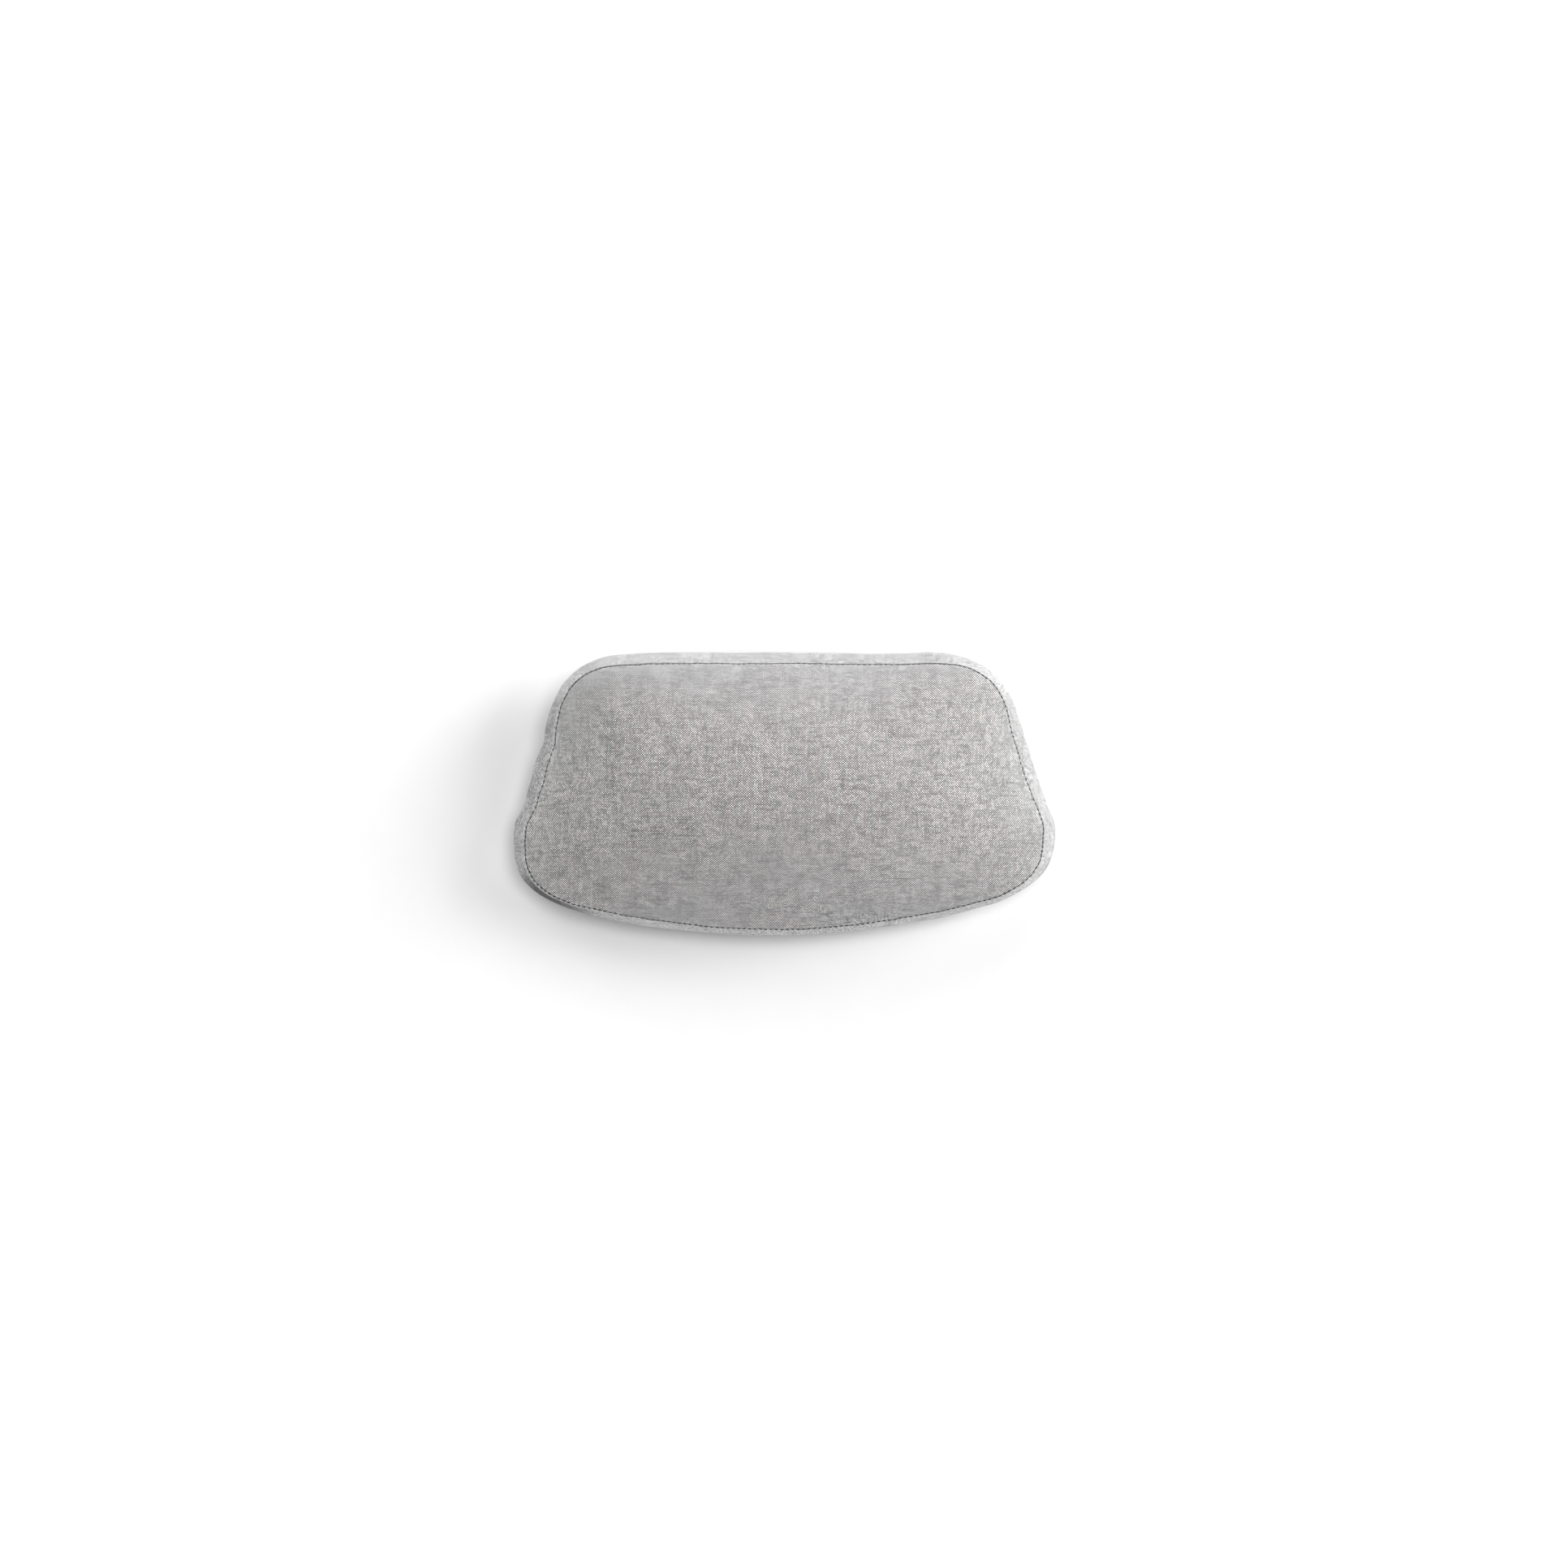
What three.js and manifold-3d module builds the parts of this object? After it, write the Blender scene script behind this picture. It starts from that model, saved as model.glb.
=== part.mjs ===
import * as THREE from 'three';
import { mergeVertices } from 'three/addons/utils/BufferGeometryUtils.js';
import Module from 'manifold-3d';

const wasm = await Module();
wasm.setup();

// ---- driving dimensions, millimetres -------------------------------------
const HEIGHT = 80;            // resting plane to the crown of the pad
const HOOK_H = 2.0;           // hook strips stand this far below the fabric
const FABRIC = 1.6;           // lined cover fabric
const LAP = 0.1;              // gap between touching pieces
const FLANGE_W = 7.8;         // topstitched flange, edge to stitch line
const TILT_MAX = 60;          // steepest droop of the flange, degrees
const TILT_MIN = 12;
const BASE_INSET = 26;        // stitch line to the flat of the base, in plan
const CLEAR = 0.3;            // fabric to filling
const WADDING = 5.0;          // fibre wrap thickness
const TAPE_ROOM = 0.9;        // wrap set back behind the zip tapes
const BOARD = 3.0;            // base board thickness
const BOARD_MARGIN = 5;       // board edge inside the flat of the base
const REAR_Y = 93.4;          // straight rear edge of the flange
const REAR_X = 102;           // half length of the straight rear edge
const REAR_W = 7.0;           // flange width in plan along the rear edge
const REAR_SEGS = 12;
const SIDE_SEGS = 48;         // segments round the rest of the outline
const CX = 0;                 // centre that the rings close on
const CY = 0;

// Flange outer edge in plan, clockwise from the rear right to the rear left
// corner: x, y, flange width in plan.
const EDGE = [
  102.0, 93.4, 7.0, 121.4, 89.4, 5.5, 138.5, 79.7, 4.7, 150.5, 64.2, 5.5, 157.4, 45.7, 6.9,
  163.3, 26.9, 7.4, 169.5, 8.1, 7.4, 176.1, -10.5, 6.8, 180.1, -29.7, 7.8, 175.0, -48.5, 6.0,
  160.7, -61.9, 3.4, 142.9, -70.4, 3.1, 124.1, -76.4, 3.2, 105.0, -81.4, 3.7, 85.5, -84.8, 3.6,
  66.0, -87.7, 3.4, 46.4, -90.2, 3.4, 26.8, -92.1, 3.5, 7.1, -93.2, 3.4, -12.7, -93.4, 3.6,
  -32.4, -92.8, 3.6, -52.1, -91.3, 3.5, -71.8, -89.6, 4.1, -91.3, -87.3, 4.3, -110.7, -83.9, 4.2,
  -130.0, -79.5, 3.7, -148.8, -73.3, 3.1, -166.0, -63.8, 4.1, -177.6, -48.4, 6.6, -180.1, -28.9, 7.4,
  -174.7, -9.9, 7.6, -168.8, 8.9, 8.3, -162.6, 27.7, 7.7, -157.6, 46.7, 6.7, -150.8, 65.2, 5.4,
  -138.7, 80.7, 5.2, -121.4, 89.9, 6.1, -102.0, 93.4, 7.0,
];
// Height of the stitch line against its y: the seam rises to the rear.
const SEAM_Z = [[-94, 31], [-75, 30], [-50, 27.5], [-20, 26.5], [20, 28.5], [50, 33.5], [70, 40], [86, 43.5], [94, 43.5]];

// Zip, measured in the plane of the rear wall: s up the wall, n outward.
const ZIP_OPEN = 92;          // half length of the opening
const ZIP_GAP = 6;            // half height of the opening
const TAPE_X = 98;
const TAPE_OUT = 11.5;        // tape edge from the centre line
const TAPE_IN = 3.0;
const TAPE_N0 = -2.4;
const TAPE_N1 = -1.8;
const COIL_IN = 0.5;
const COIL_OUT = 2.8;
const COIL_N0 = -3.3;
const COIL_N1 = -0.9;
const COIL_X0 = -86;
const COIL_X1 = 84;
const SLIDER_X = 77.5;        // slider centre, zip closed
const SLIDER_L = 12;
const SLIDER_W = 9.5;
const PULL_L = 19;
const PULL_W = 8;
const PULL_T = 1.2;
const PIVOT_N = 1.6;          // pull's hinge bar above the wall

// Hook fastener strips under the base
const HOOK_L = 190;
const HOOK_W = 25;
const HOOK_Y = 31;
const HOOK_TAPE = 0.9;
const HOOK_SELVEDGE = 2.5;

// ---- helpers ----------------------------------------------------------------
const rad = (d) => d * Math.PI / 180;
const lerp = (a, b, t) => a + (b - a) * t;

function interp(table, x) {
  if (x <= table[0][0]) return table[0][1];
  for (let i = 1; i < table.length; i++) {
    if (x <= table[i][0]) {
      const t = (x - table[i - 1][0]) / (table[i][0] - table[i - 1][0]);
      const u = t * t * (3 - 2 * t);
      return lerp(table[i - 1][1], table[i][1], u);
    }
  }
  return table[table.length - 1][1];
}

// Stations round the outline: edge point, outward normal, flange width, tilt
function stations() {
  const pts = [];
  for (let i = 0; i < EDGE.length; i += 3) pts.push(new THREE.Vector3(EDGE[i], EDGE[i + 1], EDGE[i + 2]));
  const curve = new THREE.CatmullRomCurve3(pts, false, 'centripetal');
  const fine = curve.getPoints(1200);
  const len = [0];
  for (let i = 1; i < fine.length; i++) {
    len.push(len[i - 1] + Math.hypot(fine[i].x - fine[i - 1].x, fine[i].y - fine[i - 1].y));
  }
  const total = len[len.length - 1];
  const list = [];
  for (let k = 0; k < SIDE_SEGS; k++) {
    const want = total * k / SIDE_SEGS;
    let i = 1;
    while (i < len.length - 1 && len[i] < want) i++;
    const t = (want - len[i - 1]) / (len[i] - len[i - 1]);
    list.push(fine[i - 1].clone().lerp(fine[i], t));
  }
  for (let k = 0; k < REAR_SEGS; k++) {
    list.push(new THREE.Vector3(lerp(-REAR_X, REAR_X, k / REAR_SEGS), REAR_Y, REAR_W));
  }
  const n = list.length;
  const out = [];
  for (let k = 0; k < n; k++) {
    const p = list[k];
    const rear = k >= SIDE_SEGS || k === 0;
    const span = 1;
    const a = list[(k - span + n) % n];
    const b = list[(k + span) % n];
    let nx = -(b.y - a.y);
    let ny = b.x - a.x;
    const l = Math.hypot(nx, ny);
    nx /= l; ny /= l;
    if (rear) { nx = 0; ny = 1; }
    out.push({ ex: p.x, ey: p.y, w: p.z, nx, ny, rear });
  }
  // smoother normals for the lower wall
  for (let k = 0; k < n; k++) {
    const s = out[k];
    if (s.rear) { s.mx = 0; s.my = 1; continue; }
    let mx = 0;
    let my = 0;
    for (let j = -3; j <= 3; j++) {
      const q = out[(k + j + n) % n];
      const g = Math.exp(-j * j / 4);
      mx += q.nx * g; my += q.ny * g;
    }
    const l = Math.hypot(mx, my);
    s.mx = mx / l; s.my = my / l;
  }
  out.forEach((s, k) => {
    const away = s.rear ? 0 : Math.min(k, SIDE_SEGS - k);
    s.straight = [1, 0.9, 0.65, 0.35, 0.1][away] ?? 0;
  });
  for (const s of out) {
    s.sx = s.ex - s.w * s.nx;
    s.sy = s.ey - s.w * s.ny;
    s.sz = interp(SEAM_Z, s.sy);
    let tilt = Math.acos(Math.min(1, s.w / FLANGE_W));
    tilt = Math.min(rad(TILT_MAX), Math.max(rad(TILT_MIN), tilt));
    s.tilt = tilt;
    s.drop = s.w * Math.tan(tilt);
  }
  return out;
}

const ST = stations();
const N = ST.length;

// Polar table of the stitch line for the dome
const POLAR = ST.map((s) => ({ a: Math.atan2(s.sy - CY, s.sx - CX), r: Math.hypot(s.sx - CX, s.sy - CY), z: s.sz }))
  .sort((p, q) => p.a - q.a);

function polar(a) {
  let i = POLAR.findIndex((p) => p.a > a);
  if (i < 0) i = 0;
  const q = POLAR[i];
  const p = POLAR[(i - 1 + POLAR.length) % POLAR.length];
  let span = q.a - p.a;
  if (span <= 0) span += 2 * Math.PI;
  let d = a - p.a;
  if (d < 0) d += 2 * Math.PI;
  const t = d / span;
  // the chord between two stations, so that facets and formula agree
  const r = p.r * q.r * Math.sin(span) / (p.r * Math.sin(d) + q.r * Math.sin(span - d));
  return { r, z: lerp(p.z, q.z, t) };
}

// The crown is a blown-up skin held at the stitch line: a harmonic surface
// through the seam's heights plus the lift that even pressure gives.
const ORDER = 8;
const SPAN = 180;
function harmonics(x, y) {
  const out = [1];
  let re = x / SPAN;
  let im = y / SPAN;
  const [u, v] = [re, im];
  for (let k = 1; k <= ORDER; k++) {
    out.push(re, im);
    [re, im] = [re * u - im * v, re * v + im * u];
  }
  return out;
}

function solve(A, b) {
  const n = b.length;
  const m = A.map((r, i) => [...r, b[i]]);
  for (let i = 0; i < n; i++) {
    let p = i;
    for (let j = i + 1; j < n; j++) if (Math.abs(m[j][i]) > Math.abs(m[p][i])) p = j;
    [m[i], m[p]] = [m[p], m[i]];
    for (let j = i + 1; j < n; j++) {
      const f = m[j][i] / m[i][i];
      for (let k = i; k <= n; k++) m[j][k] -= f * m[i][k];
    }
  }
  const x = new Array(n).fill(0);
  for (let i = n - 1; i >= 0; i--) {
    let t = m[i][n];
    for (let k = i + 1; k < n; k++) t -= m[i][k] * x[k];
    x[i] = t / m[i][i];
  }
  return x;
}

function fit(value) {
  const size = 2 * ORDER + 1;
  const A = Array.from({ length: size }, () => new Array(size).fill(0));
  const b = new Array(size).fill(0);
  for (let k = 0; k < N; k++) {
    for (let j = 0; j < 4; j++) {
      const s = ST[k];
      const q = ST[(k + 1) % N];
      const x = lerp(s.sx, q.sx, j / 4);
      const y = lerp(s.sy, q.sy, j / 4);
      const z = lerp(s.sz, q.sz, j / 4);
      const h = harmonics(x, y);
      const t = value(x, y, z);
      for (let i = 0; i < size; i++) {
        b[i] += h[i] * t;
        for (let l = 0; l < size; l++) A[i][l] += h[i] * h[l];
      }
    }
  }
  return solve(A, b);
}
const dot = (a, b) => a.reduce((t, v, i) => t + v * b[i], 0);
const SEAM_FIT = fit((x, y, z) => z);
const LIFT_FIT = fit((x, y) => (x * x + y * y) / 4);
const lift = (x, y) => dot(harmonics(x, y), LIFT_FIT) - (x * x + y * y) / 4;
const LIFT = (HEIGHT - dot(harmonics(0, 0), SEAM_FIT)) / lift(0, 0);
const blown = (x, y) => dot(harmonics(x, y), SEAM_FIT) + LIFT * lift(x, y);

function dome(x, y) {
  const r = Math.hypot(x - CX, y - CY);
  if (r < 1e-6) return HEIGHT;
  const e = polar(Math.atan2(y - CY, x - CX));
  const k = e.r / r;
  const left = e.z - blown(CX + (x - CX) * k, CY + (y - CY) * k);
  return blown(x, y) + left * (r / e.r) ** 14;
}

function slopeFactor(x, y) {
  const h = 1.5;
  const gx = (dome(x + h, y) - dome(x - h, y)) / (2 * h);
  const gy = (dome(x, y + h) - dome(x, y - h)) / (2 * h);
  return Math.sqrt(1 + gx * gx + gy * gy);
}

// A ring is N points; a skin joins consecutive rings; fans close the ends.
const ring = (f) => ST.map((s, k) => f(s, k));

// Bands listed from the pole outwards take the other diagonal, so that nested
// skins are cut into triangles alike.
function band(idx, a, b, m, turned) {
  if (turned) idx.push(a, a + m, b + m, a, b + m, b);
  else idx.push(a, a + m, b, b, a + m, b + m);
}

function closedSolid(rings, first, last, turned = 0) {
  const v = [];
  const idx = [];
  rings.forEach((r) => r.forEach((p) => v.push(p[0], p[1], p[2])));
  const m = rings[0].length;
  for (let i = 0; i + 1 < rings.length; i++) {
    for (let k = 0; k < m; k++) {
      band(idx, i * m + k, i * m + (k + 1) % m, m, i < turned);
    }
  }
  const n0 = v.length / 3;
  if (first) {
    v.push(first[0], first[1], first[2]);
    for (let k = 0; k < m; k++) idx.push(n0, k, (k + 1) % m);
  } else {
    const o = (rings.length - 1) * m;
    for (let k = 0; k < m; k++) {
      const a = o + k;
      const b = o + (k + 1) % m;
      idx.push(a, k, b, b, k, (k + 1) % m);
    }
  }
  if (last) {
    const n1 = v.length / 3;
    v.push(last[0], last[1], last[2]);
    const o = (rings.length - 1) * m;
    for (let k = 0; k < m; k++) idx.push(n1, o + (k + 1) % m, o + k);
  }
  const g = new THREE.BufferGeometry();
  g.setAttribute('position', new THREE.Float32BufferAttribute(v, 3));
  g.setIndex(idx);
  return faceOut(g);
}

function volume(g) {
  const p = g.attributes.position;
  const ix = g.index;
  let vol = 0;
  const a = new THREE.Vector3();
  const b = new THREE.Vector3();
  const c = new THREE.Vector3();
  for (let i = 0; i < ix.count; i += 3) {
    a.fromBufferAttribute(p, ix.getX(i));
    b.fromBufferAttribute(p, ix.getX(i + 1));
    c.fromBufferAttribute(p, ix.getX(i + 2));
    vol += a.dot(b.cross(c)) / 6;
  }
  return vol;
}

function faceOut(g) {
  if (volume(g) < 0) {
    const a = g.index.array;
    for (let i = 0; i < a.length; i += 3) {
      const t = a[i + 1];
      a[i + 1] = a[i + 2];
      a[i + 2] = t;
    }
  }
  return g;
}

function toManifold(g) {
  let h = g.clone();
  h.deleteAttribute('normal');
  h.deleteAttribute('uv');
  h = mergeVertices(h, 1e-5);
  return new wasm.Manifold(new wasm.Mesh({
    numProp: 3,
    vertProperties: new Float32Array(h.attributes.position.array),
    triVerts: new Uint32Array(h.index.array),
  }));
}

function fromManifold(m) {
  const mesh = m.getMesh();
  const g = new THREE.BufferGeometry();
  const v = [];
  for (let i = 0; i < mesh.vertProperties.length; i += mesh.numProp) {
    v.push(mesh.vertProperties[i], mesh.vertProperties[i + 1], mesh.vertProperties[i + 2]);
  }
  g.setAttribute('position', new THREE.Float32BufferAttribute(v, 3));
  g.setIndex(Array.from(mesh.triVerts));
  return g;
}

const box = (x0, x1, y0, y1, z0, z1) => {
  const g = new THREE.BoxGeometry(x1 - x0, y1 - y0, z1 - z0);
  g.translate((x0 + x1) / 2, (y0 + y1) / 2, (z0 + z1) / 2);
  return g;
};

function extrudeX(points, x0, x1) {
  // points are [s, n]; the solid runs along X from x0 to x1
  const g = new THREE.ExtrudeGeometry(new THREE.Shape(points.map((p) => new THREE.Vector2(p[0], p[1]))), {
    depth: x1 - x0, bevelEnabled: false, curveSegments: 1, steps: 1,
  });
  return g.applyMatrix4(new THREE.Matrix4().makeBasis(
    new THREE.Vector3(0, 1, 0), new THREE.Vector3(0, 0, 1), new THREE.Vector3(1, 0, 0),
  ).setPosition(x0, 0, 0));
}

// ---- profile of the lower wall in one station's plane ----------------------
const PHI = [0, 10, 32.5, 55, 74, 90];

// layer d below the fabric's outer face; returns [inset, z] pairs
function wall(s, inset0, z0, insetB, zB) {
  const E = insetB - inset0;
  const H = z0 - zB;
  const at = (p) => [inset0 + E * (1 - Math.cos(rad(p))), z0 - H * Math.sin(rad(p))];
  const pts = PHI.map(at);
  // straight behind the zip, rounder away from it
  const [a, b] = [pts[1], pts[3]];
  pts[2] = [lerp(pts[2][0], lerp(a[0], b[0], 0.5), s.straight), lerp(pts[2][1], lerp(a[1], b[1], 0.5), s.straight)];
  return pts;
}

function offsetProfile(pts, d, lastFlat) {
  // moves each point to the inside of the polyline with mitred corners
  const out = [];
  for (let i = 0; i < pts.length; i++) {
    const a = pts[Math.max(0, i - 1)];
    const b = pts[i];
    const c = pts[Math.min(pts.length - 1, i + 1)];
    let u = [b[0] - a[0], b[1] - a[1]];
    let w = [c[0] - b[0], c[1] - b[1]];
    if (i === 0) u = w;
    if (i === pts.length - 1) w = lastFlat ? [1, 0] : u;
    const lu = Math.hypot(...u);
    const lw = Math.hypot(...w);
    const nu = [-u[1] / lu, u[0] / lu];
    const nw = [-w[1] / lw, w[0] / lw];
    const k = d / (1 + nu[0] * nw[0] + nu[1] * nw[1]);
    out.push([b[0] + (nu[0] + nw[0]) * k, b[1] + (nu[1] + nw[1]) * k]);
  }
  return out;
}

const at = (s, p) => [s.sx - s.mx * p[0], s.sy - s.my * p[0], p[1]];
const flat = (s, p) => [s.sx - s.nx * p[0], s.sy - s.ny * p[0], p[1]];

// flange: point at distance f outward from the stitch line, h above its top face
function flange(s, f, h) {
  const full = s.w / Math.cos(s.tilt);
  const t = f * full;
  return [
    s.sx + s.nx * (t * Math.cos(s.tilt) + h * Math.sin(s.tilt)),
    s.sy + s.ny * (t * Math.cos(s.tilt) + h * Math.sin(s.tilt)),
    s.sz - t * Math.sin(s.tilt) + h * Math.cos(s.tilt),
  ];
}

const RHO = [0.94, 0.86, 0.72, 0.52, 0.28];
const ZB = HOOK_H;
const towards = (p, q, zf) => {
  const x = CX + (p[0] - CX) * q;
  const y = CY + (p[1] - CY) * q;
  return [x, y, zf(x, y)];
};

function domeRings(d, from = 0) {
  return RHO.slice(from).map((q) => ring((s) => towards([s.sx, s.sy], q, (x, y) => dome(x, y) - d * slopeFactor(x, y))));
}

// start of the lower wall's outer face, under the stitch line
const wallStart = (s) => [2 * FABRIC * Math.sin(s.tilt), s.sz - 2 * FABRIC * Math.cos(s.tilt)];

function outerWall(s) {
  const [i0, z0] = wallStart(s);
  return wall(s, i0, z0, BASE_INSET, ZB);
}

// the corner where layer d of the crown meets layer d of the wall
function corner(s, d, lower = 0) {
  const i = wallStart(s)[0] + d;
  const x = s.sx - s.mx * i;
  const y = s.sy - s.my * i;
  return [i, dome(x, y) - d * slopeFactor(x, y) - lower];
}

function innerWall(s, d, base, lower = 0) {
  const c = corner(s, d, lower);
  return wall(s, c[0], c[1], BASE_INSET + 0.3 * d, base);
}

function bottomRings(point, z) {
  return [0.55].map((q) => ring((s) => {
    const p = point(s);
    return [CX + (p[0] - CX) * q, CY + (p[1] - CY) * q, z];
  }));
}

// ---- the pieces --------------------------------------------------------------
const parts = {};
const colours = {
  fabric: 0xb4b4b4, thread: 0x55565a, foam: 0xe9dfc2, wadding: 0xf2f2ee, board: 0xb99b6b,
  tape: 0x6d6e72, coil: 0x5a5b5f, metal: 0x8b8d90, hook: 0x3b3c40,
};

// upper panel with the upper leaf of the flange
{
  const outer = [ring((s) => flange(s, 1, 0)), ring((s) => [s.sx, s.sy, s.sz]), ...domeRings(0)];
  const inner = domeRings(FABRIC).reverse();
  // the inside starts at the crown, comes down and runs out under the flange
  const rings = [
    ...outer,
  ];
  const under = [ring((s) => flange(s, 0, -FABRIC + LAP / 2)), ring((s) => flange(s, 1, -FABRIC + LAP / 2))];
  parts.top_panel = [shell(rings, [CX, CY, HEIGHT], [...inner, ...under], [CX, CY, HEIGHT - FABRIC]), 'fabric'];
}

// a shell whose outer skin closes at one pole and inner skin at another
function shell(outer, poleOut, inner, poleIn) {
  const v = [];
  const idx = [];
  const rings = [...inner, ...outer];
  rings.forEach((r) => r.forEach((p) => v.push(p[0], p[1], p[2])));
  const m = outer[0].length;
  for (let i = 0; i + 1 < rings.length; i++) {
    for (let k = 0; k < m; k++) {
      band(idx, i * m + k, i * m + (k + 1) % m, m, i < inner.length);
    }
  }
  v.push(...poleIn, ...poleOut);
  const pi = rings.length * m;
  const po = pi + 1;
  const o = (rings.length - 1) * m;
  for (let k = 0; k < m; k++) {
    idx.push(pi, k, (k + 1) % m);
    idx.push(po, o + (k + 1) % m, o + k);
  }
  const g = new THREE.BufferGeometry();
  g.setAttribute('position', new THREE.Float32BufferAttribute(v, 3));
  g.setIndex(idx);
  return faceOut(g);
}

// lower cover before it is cut for the zip
function lowerCover() {
  const w = ST.map((s) => outerWall(s));
  const inside = w.map((p) => offsetProfile(p, FABRIC, true));
  const last = PHI.length - 1;
  const outRings = [
    ring((s) => flange(s, 1, -2 * FABRIC)),
    ...PHI.map((_, i) => ring((s, k) => (i === 0 ? flat(s, w[k][0]) : at(s, w[k][i])))),
    ...bottomRings((s) => at(s, outerWall(s)[last]), ZB),
  ];
  const inRings = [
    ...bottomRings((s) => at(s, outerWall(s)[last]), ZB + FABRIC),
    ...PHI.map((_, i) => i).filter((i) => i > 0).reverse().map((i) => ring((s, k) => at(s, inside[k][i]))),
    ring((s) => flange(s, 0, -FABRIC - LAP / 2)),
    ring((s) => flange(s, 1, -FABRIC - LAP / 2)),
  ];
  return shell(outRings, [CX, CY, ZB], inRings, [CX, CY, ZB + FABRIC]);
}

// frame of the zip: origin on its centre line, s up the wall, n outward
const rearStation = ST[SIDE_SEGS + REAR_SEGS / 2];
const rearWall = outerWall(rearStation);
const zipY = rearStation.sy - lerp(rearWall[1][0], rearWall[3][0], 0.5);
const zipZ = lerp(rearWall[1][1], rearWall[3][1], 0.5);
const upLen = Math.hypot(rearWall[1][0] - rearWall[3][0], rearWall[1][1] - rearWall[3][1]);
const UP = new THREE.Vector3(0, -(rearWall[1][0] - rearWall[3][0]) / upLen, (rearWall[1][1] - rearWall[3][1]) / upLen);
const OUT = new THREE.Vector3(1, 0, 0).cross(UP).negate();
if (OUT.y < 0) OUT.negate();
const ZIP = new THREE.Matrix4().makeBasis(new THREE.Vector3(1, 0, 0), UP, OUT);
const handed = new THREE.Vector3(1, 0, 0).cross(UP).dot(OUT) < 0;
const ZIP_AT = new THREE.Vector3(0, zipY, zipZ);

// local solids use x along the zip, y = s, z = n
function inWall(g) {
  const p = g.attributes.position;
  const v = new THREE.Vector3();
  for (let i = 0; i < p.count; i++) {
    const x = p.getX(i);
    const s = p.getY(i);
    const n = p.getZ(i);
    v.set(x, 0, 0).addScaledVector(UP, s).addScaledVector(OUT, n).add(ZIP_AT);
    p.setXYZ(i, v.x, v.y, v.z);
  }
  if (handed) {
    if (!g.index) {
      g.setIndex(Array.from({ length: p.count }, (_, i) => i));
    }
    const a = g.index.array;
    for (let i = 0; i < a.length; i += 3) {
      const t = a[i + 1];
      a[i + 1] = a[i + 2];
      a[i + 2] = t;
    }
  }
  return g;
}

const zipBox = (x0, x1, s0, s1, n0, n1) => inWall(box(x0, x1, s0, s1, n0, n1));
const M = (g) => toManifold(g);

{
  const cover = M(lowerCover());
  const opening = M(zipBox(-ZIP_OPEN, ZIP_OPEN, -ZIP_GAP, ZIP_GAP, -6, 4));
  const above = M(zipBox(-250, 250, 0.15, 200, -250, 120));
  const below = M(zipBox(-250, 250, -400, -0.15, -300, 300));
  parts.zip_panel = [fromManifold(cover.intersect(above).subtract(opening)), 'fabric'];
  parts.base_panel = [fromManifold(cover.intersect(below).subtract(opening)), 'fabric'];
}

// filling: wrap above, wrap below, foam core, base board
const D1 = FABRIC + CLEAR;
const D2 = D1 + WADDING;
const D3 = D2 + 0.5;
const BOARD_Z0 = ZB + FABRIC + LAP;
const BOARD_Z1 = BOARD_Z0 + BOARD;
const base = (d) => BOARD_Z1 + CLEAR + d - D1;

{
  const outer = [ring((s) => at(s, corner(s, D1))), ...domeRings(D1)];
  const inner = [...domeRings(D2, 1).reverse(), ring((s) => at(s, corner(s, D2)))];
  parts.wadding_top = [shell(outer, [CX, CY, HEIGHT - D1], inner, [CX, CY, HEIGHT - D2]), 'wadding'];
}
{
  const low = 0.4;
  // set back behind the zip tapes
  const wo = ST.map((s) => innerWall(s, D1 + TAPE_ROOM * s.straight, base(D1), low));
  const wi = ST.map((s) => innerWall(s, D2, base(D2), low));
  const last = PHI.length - 1;
  const outer = [
    ...PHI.map((_, i) => ring((s, k) => at(s, wo[k][i]))),
    ...bottomRings((s) => at(s, innerWall(s, D1, base(D1), low)[last]), base(D1)),
  ];
  const inner = [
    ...bottomRings((s) => at(s, innerWall(s, D2, base(D2), low)[last]), base(D2)),
    ...PHI.map((_, i) => i).reverse().map((i) => ring((s, k) => at(s, wi[k][i]))),
  ];
  const g = shell(outer, [CX, CY, base(D1)], inner, [CX, CY, base(D2)]);
  const channel = M(zipBox(-ZIP_OPEN, ZIP_OPEN, -SLIDER_W / 2 - 1, SLIDER_W / 2 + 1, -5.5, 6));
  parts.wadding_base = [fromManifold(M(g).subtract(channel)), 'wadding'];
}
{
  const last = PHI.length - 1;
  const w = ST.map((s) => innerWall(s, D3, base(D3)));
  const rings = [
    ...domeRings(D3, 1).reverse(),
    ...PHI.map((_, i) => ring((s, k) => at(s, w[k][i]))),
    ...bottomRings((s) => at(s, innerWall(s, D3, base(D3))[last]), base(D3)),
  ];
  parts.foam_core = [closedSolid(rings, [CX, CY, HEIGHT - D3], [CX, CY, base(D3)], RHO.length - 1), 'foam'];
}
{
  const edge = (s) => [s.sx - s.mx * (BASE_INSET + BOARD_MARGIN), s.sy - s.my * (BASE_INSET + BOARD_MARGIN)];
  const shape = new THREE.Shape(ST.map((s) => new THREE.Vector2(...edge(s))));
  const g = new THREE.ExtrudeGeometry(shape, { depth: BOARD, bevelEnabled: false, curveSegments: 1 });
  g.translate(0, 0, BOARD_Z0);
  parts.base_stiffener = [g, 'board'];
}

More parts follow.
